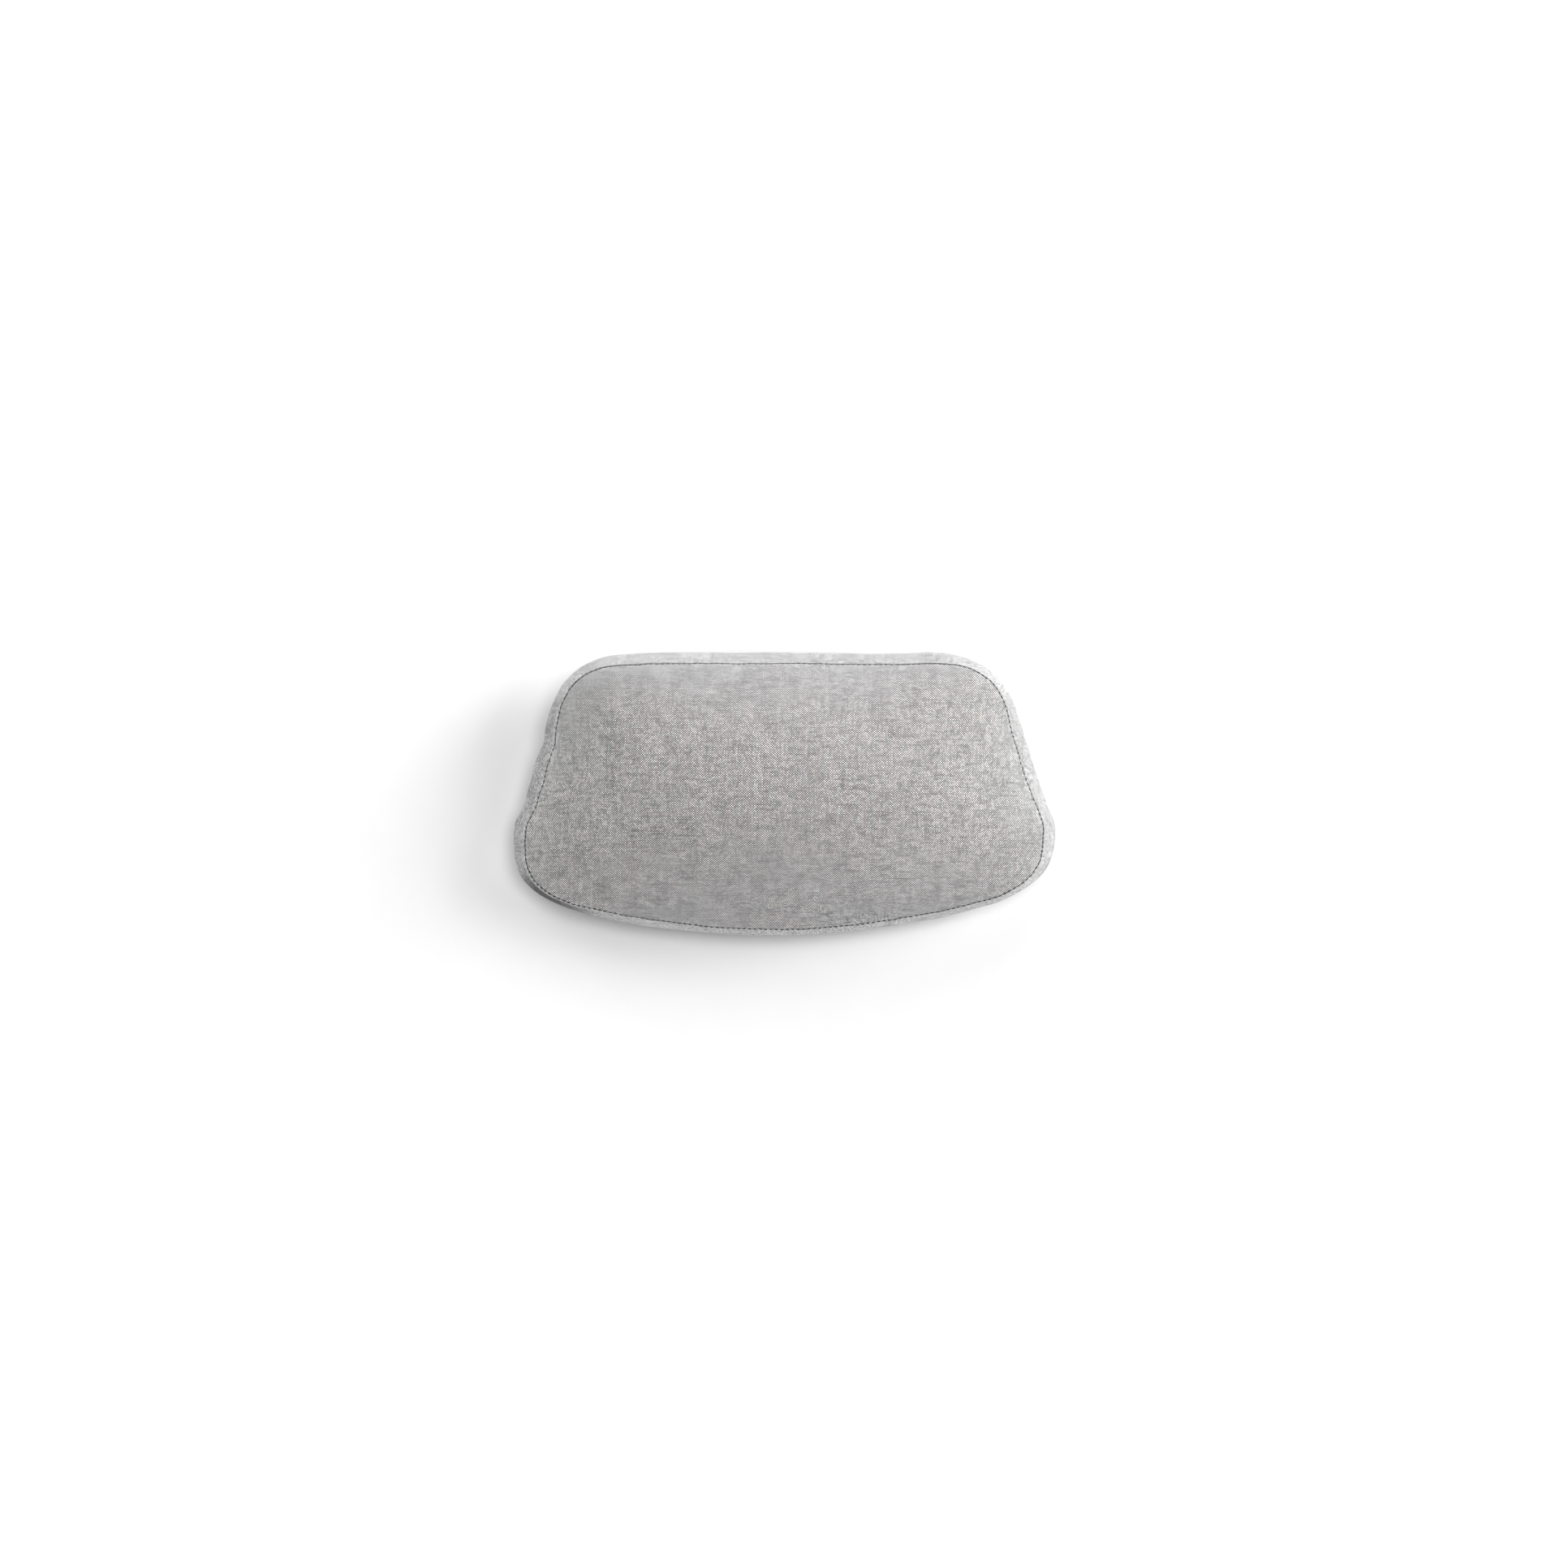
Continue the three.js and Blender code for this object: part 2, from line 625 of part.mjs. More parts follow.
// stitch threads: thin closed loops that follow the flange
function loop(centre, r) {
  const secs = 4;
  const c = ST.map((s) => centre(s));
  const rings = [];
  for (let k = 0; k < N; k++) {
    const a = c[(k - 1 + N) % N];
    const b = c[(k + 1) % N];
    const t = new THREE.Vector3(b[0] - a[0], b[1] - a[1], b[2] - a[2]).normalize();
    const up = new THREE.Vector3(0, 0, 1);
    const side = t.clone().cross(up).normalize();
    const top = side.clone().cross(t).normalize();
    const pts = [];
    for (let j = 0; j < secs; j++) {
      const q = 2 * Math.PI * j / secs;
      pts.push([
        c[k][0] + r * (side.x * Math.cos(q) + top.x * Math.sin(q)),
        c[k][1] + r * (side.y * Math.cos(q) + top.y * Math.sin(q)),
        c[k][2] + r * (side.z * Math.cos(q) + top.z * Math.sin(q)),
      ]);
    }
    rings.push(pts);
  }
  return closedSolid(rings, null, null);
}
const flangeMM = (s, f, h) => flange(s, f / (s.w / Math.cos(s.tilt)), h);
parts.topstitch_upper = [loop((s) => flangeMM(s, 0.6, 0.55), 0.3), 'thread'];
// in the crease between the flange's underside and the wall
const crease = (s, c) => {
  const d = c / Math.sin((Math.PI / 2 - s.tilt) / 2);
  const h = 1 - Math.sin(s.tilt);
  const l = Math.hypot(h, Math.cos(s.tilt));
  const [i, z] = wallStart(s);
  return [s.sx - s.nx * (i - d * h / l), s.sy - s.ny * (i - d * h / l), z - d * Math.cos(s.tilt) / l];
};
parts.topstitch_lower = [loop((s) => crease(s, 0.5), 0.22), 'thread'];

// zip
parts.zip_tape_upper = [zipBox(-TAPE_X, TAPE_X, TAPE_IN, TAPE_OUT, TAPE_N0, TAPE_N1), 'tape'];
parts.zip_tape_lower = [zipBox(-TAPE_X, TAPE_X, -TAPE_OUT, -TAPE_IN, TAPE_N0, TAPE_N1), 'tape'];
const coil = (s0, s1) => {
  const c = 0.6;
  const [a, b] = [Math.min(s0, s1), Math.max(s0, s1)];
  return inWall(extrudeX([
    [a, COIL_N0 + c], [a + c, COIL_N0], [b - c, COIL_N0], [b, COIL_N0 + c],
    [b, COIL_N1 - c], [b - c, COIL_N1], [a + c, COIL_N1], [a, COIL_N1 - c],
  ], COIL_X0, COIL_X1));
};
parts.zip_coil_upper = [coil(COIL_IN, COIL_OUT), 'coil'];
parts.zip_coil_lower = [coil(-COIL_OUT, -COIL_IN), 'coil'];
parts.zip_top_stop_upper = [zipBox(COIL_X1 + 0.3, COIL_X1 + 4, COIL_IN, COIL_OUT, COIL_N0, COIL_N1), 'metal'];
parts.zip_top_stop_lower = [zipBox(COIL_X1 + 0.3, COIL_X1 + 4, -COIL_OUT, -COIL_IN, COIL_N0, COIL_N1), 'metal'];
parts.zip_bottom_stop = [zipBox(COIL_X0 - 4.8, COIL_X0 - 0.3, -COIL_OUT, COIL_OUT, COIL_N0, COIL_N1), 'metal'];
parts.zip_stitch_upper = [zipBox(-ZIP_OPEN - 2, ZIP_OPEN + 2, 8.2, 8.8, 0.12, 0.6), 'thread'];
parts.zip_stitch_lower = [zipBox(-ZIP_OPEN - 2, ZIP_OPEN + 2, -8.8, -8.2, 0.12, 0.6), 'thread'];

// slider: two plates joined by the divider post, with a bail on the outer one
{
  const L = SLIDER_L / 2;
  const W = SLIDER_W / 2;
  const x = SLIDER_X;
  const plate = (n0, n1, w0, w1) => {
    const sh = new THREE.Shape([
      [-L, -w0 + 1.2], [-L + 1.2, -w0], [1, -w1], [L - 1.5, -w1], [L, -w1 + 1.5],
      [L, w1 - 1.5], [L - 1.5, w1], [1, w1], [-L + 1.2, w0], [-L, w0 - 1.2],
    ].map((p) => new THREE.Vector2(...p)));
    const g = new THREE.ExtrudeGeometry(sh, { depth: n1 - n0, bevelEnabled: false, curveSegments: 1 });
    g.translate(x, 0, n0);
    return M(g);
  };
  const b = (x0, x1, s0, s1, n0, n1) => M(box(x + x0, x + x1, s0, s1, n0, n1));
  let m = plate(-0.6, 0.5, W - 0.8, W);
  m = m.add(plate(-4.8, -3.6, W - 0.8, W));
  m = m.add(b(L - 3.2, L - 0.4, -0.2, 0.2, -3.7, -0.5));
  for (const q of [-1, 1]) {
    const s0 = Math.min(q * 3.15, q * 3.9);
    const s1 = Math.max(q * 3.15, q * 3.9);
    m = m.add(b(-L + 0.6, L - 1.2, s0, s1, -1.5, -0.5));
    m = m.add(b(-L + 0.6, L - 1.2, s0, s1, -3.7, -2.7));
  }
  // bail
  m = m.add(b(-3.6, -2.6, -1.0, 1.0, 0.4, 3.5));
  m = m.add(b(2.6, 3.6, -1.0, 1.0, 0.4, 3.5));
  m = m.add(b(-3.6, 3.6, -1.0, 1.0, 2.6, 3.5));
  parts.zip_slider = [inWall(fromManifold(m)), 'metal'];

  // pull: round hinge bar under the bail, two arms past it, tapered tab
  const out = [
    [0, -3.4], [0, -1.7], [-5.4, -1.7], [-5.4, 1.7], [0, 1.7], [0, 3.4], [-0.8, 4.0], [-6, 3.6], [-PULL_L + 2, 4.0],
    [-PULL_L + 0.6, 3.2], [-PULL_L + 0.6, -3.2], [-PULL_L + 2, -4.0], [-6, -3.6], [-0.8, -4.0],
  ];
  const sh = new THREE.Shape(out.map((p) => new THREE.Vector2(...p)));
  sh.holes.push(new THREE.Path([[-12.5, -1.1], [-15.0, -1.1], [-15.6, 0], [-15.0, 1.1], [-12.5, 1.1], [-11.9, 0]].map((p) => new THREE.Vector2(...p))));
  const tab = new THREE.ExtrudeGeometry(sh, { depth: PULL_T, bevelEnabled: false, curveSegments: 1 });
  tab.translate(x, 0, PIVOT_N - PULL_T / 2);
  const bar = new THREE.CylinderGeometry(PULL_T / 2, PULL_T / 2, 6.8, 24);
  bar.translate(x, 0, PIVOT_N);
  const g = fromManifold(M(tab).add(M(bar)));
  parts.zip_pull = [inWall(g), 'metal'];
}

// hook strips and the thread that holds each one
for (const [name, y] of [['front', -HOOK_Y], ['rear', HOOK_Y]]) {
  const l = HOOK_L / 2;
  const w = HOOK_W / 2;
  const z1 = ZB - LAP;
  const z0 = z1 - HOOK_TAPE;
  const m = M(box(-l, l, y - w, y + w, z0, z1))
    .add(M(box(-l + HOOK_SELVEDGE, l - HOOK_SELVEDGE, y - w + HOOK_SELVEDGE, y + w - HOOK_SELVEDGE, 0, z0 + 0.01)));
  parts[`hook_strip_${name}`] = [fromManifold(m), 'hook'];
  const a = 0.9;
  const t = 0.6;
  const f = M(box(-l + a, l - a, y - w + a, y + w - a, z0 - 0.5, z0 - 0.1))
    .subtract(M(box(-l + a + t, l - a - t, y - w + a + t, y + w - a - t, z0 - 1, z0 + 1)));
  parts[`hook_stitch_${name}`] = [fromManifold(f), 'thread'];
}

// ---- group -------------------------------------------------------------------
const rough = { fabric: 0.95, thread: 0.8, foam: 0.95, wadding: 0.98, board: 0.8, tape: 0.85, coil: 0.5, metal: 0.35, hook: 0.7 };
const group = new THREE.Group();
group.name = 'chair_armrest_pad';
let total = 0;
for (const [name, [g, kind]] of Object.entries(parts)) {
  const material = new THREE.MeshStandardMaterial({
    color: colours[kind], roughness: rough[kind], metalness: kind === 'metal' ? 1 : 0,
  });
  material.name = `${name}_material`;
  let h = g.clone();
  h.deleteAttribute('normal');
  h.deleteAttribute('uv');
  h = mergeVertices(h, 1e-5);
  h.computeVertexNormals();
  const mesh = new THREE.Mesh(h, material);
  mesh.name = name;
  total += h.index.count / 3;
  group.add(mesh);
}
const pivot = ZIP_AT.clone().addScaledVector(OUT, PIVOT_N).setX(SLIDER_X);
group.userData = { triangles: total, pivot: pivot.toArray(), up: UP.toArray(), out: OUT.toArray(), zip: ZIP_AT.toArray() };

export default group;
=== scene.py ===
import math

import bmesh
import bpy
import numpy as np
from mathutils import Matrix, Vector
from mathutils.geometry import delaunay_2d_cdt
from mathutils.kdtree import KDTree


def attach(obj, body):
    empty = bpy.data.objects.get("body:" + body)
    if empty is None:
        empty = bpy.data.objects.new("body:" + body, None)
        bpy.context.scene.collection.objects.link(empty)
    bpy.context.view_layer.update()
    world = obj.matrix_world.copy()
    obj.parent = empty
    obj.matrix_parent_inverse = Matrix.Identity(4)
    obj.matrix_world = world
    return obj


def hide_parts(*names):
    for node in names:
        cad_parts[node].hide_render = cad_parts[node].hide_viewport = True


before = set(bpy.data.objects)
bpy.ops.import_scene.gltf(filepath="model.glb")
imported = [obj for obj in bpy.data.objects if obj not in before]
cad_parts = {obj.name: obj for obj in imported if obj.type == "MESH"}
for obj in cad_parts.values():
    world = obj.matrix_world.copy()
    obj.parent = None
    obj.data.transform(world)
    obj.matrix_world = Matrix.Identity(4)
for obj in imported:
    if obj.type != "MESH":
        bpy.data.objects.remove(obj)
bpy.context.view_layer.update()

MM = 0.001
TAU = 2 * math.pi

# ---------------------------------------------------------------------------
# dimensions, millimetres, shared with the CAD source
# ---------------------------------------------------------------------------
HEIGHT = 80.0
ZB = 2.0
FABRIC = 1.6
FLANGE_W = 7.8
TILT_MAX, TILT_MIN = math.radians(60), math.radians(31)
BASE_INSET = 26.0
REAR_X, REAR_Y = 102.0, 93.4
STITCHES = 258
PER = 6
M = STITCHES * PER

EDGE = np.array([
    102.0, 93.4, 7.0, 121.4, 89.4, 5.5, 138.5, 79.7, 4.7, 150.5, 64.2, 5.5, 157.4, 45.7, 6.9,
    163.3, 26.9, 7.4, 169.5, 8.1, 7.4, 176.1, -10.5, 6.8, 180.1, -29.7, 7.8, 175.0, -48.5, 6.0,
    160.7, -61.9, 3.4, 142.9, -70.4, 3.1, 124.1, -76.4, 3.2, 105.0, -81.4, 3.7, 85.5, -84.8, 3.6,
    66.0, -87.7, 3.4, 46.4, -90.2, 3.4, 26.8, -92.1, 3.5, 7.1, -93.2, 3.4, -12.7, -93.4, 3.6,
    -32.4, -92.8, 3.6, -52.1, -91.3, 3.5, -71.8, -89.6, 4.1, -91.3, -87.3, 4.3, -110.7, -83.9, 4.2,
    -130.0, -79.5, 3.7, -148.8, -73.3, 3.1, -166.0, -63.8, 4.1, -177.6, -48.4, 6.6, -180.1, -28.9, 7.4,
    -174.7, -9.9, 7.6, -168.8, 8.9, 8.3, -162.6, 27.7, 7.7, -157.6, 46.7, 6.7, -150.8, 65.2, 5.4,
    -138.7, 80.7, 5.2, -121.4, 89.9, 6.1, -102.0, 93.4, 7.0,
]).reshape(-1, 3)
SEAM_Z = np.array([[-94, 31], [-75, 30], [-50, 27.5], [-20, 26.5], [20, 28.5], [50, 33.5], [70, 40], [86, 43.5], [94, 43.5]], float)


def smooth_ring(a, sigma):
    """Gaussian smoothing of a closed list; sigma in samples."""
    n = len(a)
    f = np.fft.rfftfreq(n)
    return np.fft.irfft(np.fft.rfft(a) * np.exp(-2 * (math.pi * f * sigma) ** 2), n)


def ring_noise(n, waves, seed):
    """Periodic smooth noise, about -1..1, with that many waves round the ring."""
    rng = np.random.default_rng(seed)
    a = rng.standard_normal(n)
    a = smooth_ring(a, n / waves / 4.5)
    return a / max(1e-9, np.abs(a).max())


def smoothstep(x):
    x = np.clip(x, 0, 1)
    return x * x * (3 - 2 * x)


# ---------------------------------------------------------------------------
# outline
# ---------------------------------------------------------------------------
def catmull(p, steps):
    p0, p1, p2, p3 = np.roll(p, 1, 0), p, np.roll(p, -1, 0), np.roll(p, -2, 0)
    out = []
    for t in np.arange(steps) / steps:
        out.append(0.5 * (2 * p1 + (p2 - p0) * t + (2 * p0 - 5 * p1 + 4 * p2 - p3) * t * t + (3 * p1 - 3 * p2 + p3 - p0) * t ** 3))
    return np.stack(out, 1).reshape(-1, p.shape[1])


rear = np.array([[x, REAR_Y, 7.0] for x in np.linspace(-REAR_X, REAR_X, 11)[1:-1]])
fine = catmull(np.vstack([EDGE, rear]), 40)
step = np.hypot(*(np.roll(fine[:, :2], -1, 0) - fine[:, :2]).T)
arc = np.r_[0, np.cumsum(step)]
LENGTH = arc[-1]
want = np.arange(M) / M * LENGTH
E = np.stack([np.interp(want, arc, np.r_[fine[:, k], fine[0, k]]) for k in range(3)], 1)
for k in range(3):
    E[:, k] = smooth_ring(E[:, k], M / LENGTH * 2.0)
W = E[:, 2] + 0.22 * ring_noise(M, 70, 5) + 0.16 * ring_noise(M, 150, 6)
E = E[:, :2]
tan = np.roll(E, -1, 0) - np.roll(E, 1, 0)
NRM = np.stack([-tan[:, 1], tan[:, 0]], 1)
NRM /= np.linalg.norm(NRM, axis=1)[:, None]
for k in range(2):
    NRM[:, k] = smooth_ring(NRM[:, k], M / LENGTH * 3.0)
NRM /= np.linalg.norm(NRM, axis=1)[:, None]
SOFT = np.stack([smooth_ring(NRM[:, k], M / LENGTH * 22.0) for k in range(2)], 1)
SOFT /= np.linalg.norm(SOFT, axis=1)[:, None]
S = E - NRM * W[:, None]
# small dents and swellings: place along the outline, half width, at the edge, at the stitches
ARC = np.arange(M) / M * LENGTH
for at, wide, at_edge, at_seam in (
    (147.5, 7, 0.35, 1.0), (217.0, 8, 0.05, 0.65), (543.0, 9, 0.7, 0.55), (565.0, 7, 0.1, -0.35), (583.0, 6, 0.25, 1.05),
    (597.6, 5, -0.6, -0.85), (613.0, 5, 0.0, -0.25), (624.5, 6, 0.5, 0.6), (639.5, 5.0, -1.0, -1.15), (657.0, 8, 0.3, 0.3),
    (679.0, 9, 0.3, 0.4), (730.0, 13, -0.3, -0.9), (895.0, 28, -0.45, -0.7),
):
    bump = np.exp(-((ARC - at) / wide) ** 2)
    E = E + NRM * (at_edge * bump)[:, None]
    S = S + NRM * (at_seam * bump)[:, None]
PHASE = (np.arange(M) % PER) / PER


def seam_height(y):
    i = np.clip(np.searchsorted(SEAM_Z[:, 0], y) - 1, 0, len(SEAM_Z) - 2)
    t = smoothstep((y - SEAM_Z[i, 0]) / (SEAM_Z[i + 1, 0] - SEAM_Z[i, 0]))
    return SEAM_Z[i, 1] + (SEAM_Z[i + 1, 1] - SEAM_Z[i, 1]) * t


ZS = smooth_ring(seam_height(S[:, 1]), M / LENGTH * 6.0)
TILT = np.clip(np.arccos(np.clip(W / FLANGE_W, -1, 1)), TILT_MIN, TILT_MAX)
TILT = np.clip(smooth_ring(TILT, M / LENGTH * 3.0), TILT_MIN, TILT_MAX)
FULL = W / np.cos(TILT)
CT, SN = np.cos(TILT), np.sin(TILT)

# ---------------------------------------------------------------------------
# crown: a harmonic surface through the seam plus the lift of even pressure
# ---------------------------------------------------------------------------
ORDER, SPAN = 8, 180.0


def harmonics(x, y):
    w = (np.asarray(x) + 1j * np.asarray(y)) / SPAN
    out = [np.ones_like(w.real)]
    p = w.copy()
    for _ in range(ORDER):
        out += [p.real, p.imag]
        p = p * w
    return np.stack(out, -1)


_A = harmonics(S[:, 0], S[:, 1])
SEAM_FIT = np.linalg.lstsq(_A, ZS, rcond=None)[0]
LIFT_FIT = np.linalg.lstsq(_A, (S ** 2).sum(1) / 4, rcond=None)[0]


def _lift(x, y):
    return harmonics(x, y) @ LIFT_FIT - (x ** 2 + y ** 2) / 4


LIFT = float((HEIGHT - harmonics(0.0, 0.0) @ SEAM_FIT) / _lift(np.float64(0), np.float64(0)))


def blown(x, y):
    return harmonics(x, y) @ SEAM_FIT + LIFT * _lift(x, y)


_ang = np.arctan2(S[:, 1], S[:, 0])
_o = np.argsort(_ang)
_pa = _ang[_o]
_left = ZS - blown(S[:, 0], S[:, 1])


def around(values, a):
    return np.interp(a, _pa, np.asarray(values)[_o], period=TAU)


_RS = np.hypot(S[:, 0], S[:, 1])


def dome(x, y):
    r = np.hypot(x, y)
    a = np.arctan2(y, x)
    return blown(x, y) + around(_left, a) * np.clip(r / around(_RS, a), 0, 1.1) ** 14


def slope_factor(x, y):
    h = 1.5
    gx = (dome(x + h, y) - dome(x - h, y)) / (2 * h)
    gy = (dome(x, y + h) - dome(x, y - h)) / (2 * h)
    return np.sqrt(1 + gx * gx + gy * gy)


# ---------------------------------------------------------------------------
# the cloth's own coordinates: thread lengths measured along the surface
# ---------------------------------------------------------------------------
GX, GY = np.arange(-192.0, 192.5, 1.0), np.arange(-100.0, 100.5, 1.0)
_gx, _gy = np.meshgrid(GX, GY)
_ga, _gr = np.arctan2(_gy, _gx), np.hypot(_gx, _gy)
_rs = around(_RS, _ga)
_along = around((NRM * S).sum(1) / _RS, _ga)
_gz = np.where(_gr <= _rs, dome(_gx, _gy), around(ZS, _ga) - np.tan(around(TILT, _ga)) * (_gr - _rs) * _along)
_zx = np.clip(np.gradient(_gz, 1.0, axis=1), -1.9, 1.9)
_zy = np.clip(np.gradient(_gz, 1.0, axis=0), -1.9, 1.9)


def _lengths(slope, axis):
    ds = np.sqrt(1 + slope ** 2)
    mid = 0.5 * (np.take(ds, np.arange(1, ds.shape[axis]), axis) + np.take(ds, np.arange(ds.shape[axis] - 1), axis))
    c = np.cumsum(mid, axis)
    pad = np.zeros_like(np.take(c, [0], axis))
    c = np.concatenate([pad, c], axis)
    zero = len(GX) // 2 if axis == 1 else len(GY) // 2
    return c - np.take(c, [zero], axis)


_U, _V = _lengths(_zx, 1), _lengths(_zy, 0)


def bilinear(grid, x, y):
    fx, fy = np.clip(x - GX[0], 0, len(GX) - 1.001), np.clip(y - GY[0], 0, len(GY) - 1.001)
    i, j = fx.astype(int), fy.astype(int)
    a, b = fx - i, fy - j
    return grid[j, i] * (1 - a) * (1 - b) + grid[j, i + 1] * a * (1 - b) + grid[j + 1, i] * (1 - a) * b + grid[j + 1, i + 1] * a * b


# ---------------------------------------------------------------------------
# mesh helpers
# ---------------------------------------------------------------------------
def make_object(name, verts, faces, uv=None, smooth=True):
    me = bpy.data.meshes.new(name)
    me.from_pydata([tuple(map(float, v)) for v in verts], [], [tuple(map(int, f)) for f in faces])
    me.validate()
    if uv is not None:
        layer = me.uv_layers.new(name="weave")
        idx = np.zeros(len(me.loops), np.int32)
        me.loops.foreach_get("vertex_index", idx)
        layer.data.foreach_set("uv", np.asarray(uv, np.float32)[idx].reshape(-1))
    if smooth:
        me.polygons.foreach_set("use_smooth", np.ones(len(me.polygons), bool))
    me.update()
    ob = bpy.data.objects.new(name, me)
    bpy.context.scene.collection.objects.link(ob)
    return ob


def ring_faces(rings, m, start=0, flip=False):
    k = np.arange(m)
    q = (k + 1) % m
    out = []
    for i in range(rings - 1):
        a, b = start + i * m + k, start + i * m + q
        c, d = a + m, b + m
        out.append(np.stack([a, c, d, b] if not flip else [a, b, d, c], 1))
    return np.concatenate(out)


def bevel(ob, width, segments=2, angle=35):
    m = ob.modifiers.new("bevel", "BEVEL")
    m.width = width
    m.segments = segments
    m.limit_method = "ANGLE"
    m.angle_limit = math.radians(angle)
    m.harden_normals = False
    return ob


def apply_all(ob):
    bpy.context.view_layer.update()
    dg = bpy.context.evaluated_depsgraph_get()
    me = bpy.data.meshes.new_from_object(ob.evaluated_get(dg))
    old = ob.data
    ob.modifiers.clear()
    ob.data = me
    bpy.data.meshes.remove(old)
    return ob


# ---------------------------------------------------------------------------
# material helpers
# ---------------------------------------------------------------------------
class Nodes:
    def __init__(self, name):
        self.mat = bpy.data.materials.new(name)
        self.mat.use_nodes = True
        self.t = self.mat.node_tree
        self.t.nodes.clear()
        self.out = self.t.nodes.new("ShaderNodeOutputMaterial")
        self.bsdf = self.t.nodes.new("ShaderNodeBsdfPrincipled")
        self.t.links.new(self.bsdf.outputs[0], self.out.inputs[0])

    def put(self, socket, v):
        if isinstance(v, bpy.types.NodeSocket):
            self.t.links.new(v, socket)
        else:
            socket.default_value = v

    def math(self, op, a, b=None, c=None, clamp=False):
        n = self.t.nodes.new("ShaderNodeMath")
        n.operation = op
        n.use_clamp = clamp
        for k, v in enumerate((a, b, c)):
            if v is not None:
                self.put(n.inputs[k], v)
        return n.outputs[0]

    def xyz(self, x=0.0, y=0.0, z=0.0):
        n = self.t.nodes.new("ShaderNodeCombineXYZ")
        for k, v in enumerate((x, y, z)):
            self.put(n.inputs[k], v)
        return n.outputs[0]

    def split(self, v):
        n = self.t.nodes.new("ShaderNodeSeparateXYZ")
        self.put(n.inputs[0], v)
        return n.outputs

    def coords(self, kind="Object"):
        return self.t.nodes.new("ShaderNodeTexCoord").outputs[kind]

    def uv(self, name="weave"):
        n = self.t.nodes.new("ShaderNodeUVMap")
        n.uv_map = name
        return n.outputs[0]

    def noise(self, vec, scale=1.0, detail=2.0, rough=0.5, dims="3D"):
        n = self.t.nodes.new("ShaderNodeTexNoise")
        n.noise_dimensions = dims
        self.put(n.inputs["Vector"], vec)
        n.inputs["Scale"].default_value = scale
        n.inputs["Detail"].default_value = detail
        n.inputs["Roughness"].default_value = rough
        return n.outputs[0]

    def white(self, vec):
        n = self.t.nodes.new("ShaderNodeTexWhiteNoise")
        n.noise_dimensions = "3D"
        self.put(n.inputs["Vector"], vec)
        return n.outputs["Value"]

    def remap(self, v, a, b, c, d, clamp=True):
        n = self.t.nodes.new("ShaderNodeMapRange")
        n.clamp = clamp
        self.put(n.inputs[0], v)
        for k, x in enumerate((a, b, c, d)):
            self.put(n.inputs[k + 1], x)
        return n.outputs[0]

    def mix(self, f, a, b):
        n = self.t.nodes.new("ShaderNodeMix")
        n.data_type = "RGBA"
        self.put(n.inputs[0], f)
        self.put(n.inputs[6], a)
        self.put(n.inputs[7], b)
        return n.outputs[2]

    def lerp(self, f, a, b):
        n = self.t.nodes.new("ShaderNodeMix")
        n.data_type = "FLOAT"
        self.put(n.inputs[0], f)
        self.put(n.inputs[2], a)
        self.put(n.inputs[3], b)
        return n.outputs[0]

    def grey(self, v):
        n = self.t.nodes.new("ShaderNodeCombineColor")
        for k in range(3):
            self.put(n.inputs[k], v)
        return n.outputs[0]

    def tint(self, v, rgb):
        n = self.t.nodes.new("ShaderNodeCombineColor")
        for k in range(3):
            self.put(n.inputs[k], self.math("MULTIPLY", v, rgb[k]))
        return n.outputs[0]

    def bump(self, height, distance, strength=1.0, normal=None):
        n = self.t.nodes.new("ShaderNodeBump")
        n.inputs["Strength"].default_value = strength
        n.inputs["Distance"].default_value = distance
        self.put(n.inputs["Height"], height)
        if normal is not None:
            self.put(n.inputs["Normal"], normal)
        return n.outputs[0]

    def set(self, **kw):
        for k, v in kw.items():
            self.put(self.bsdf.inputs[k.replace("_", " ")], v)
        return self


WARP, WEFT = 0.83, 0.78  # thread pitch, mm


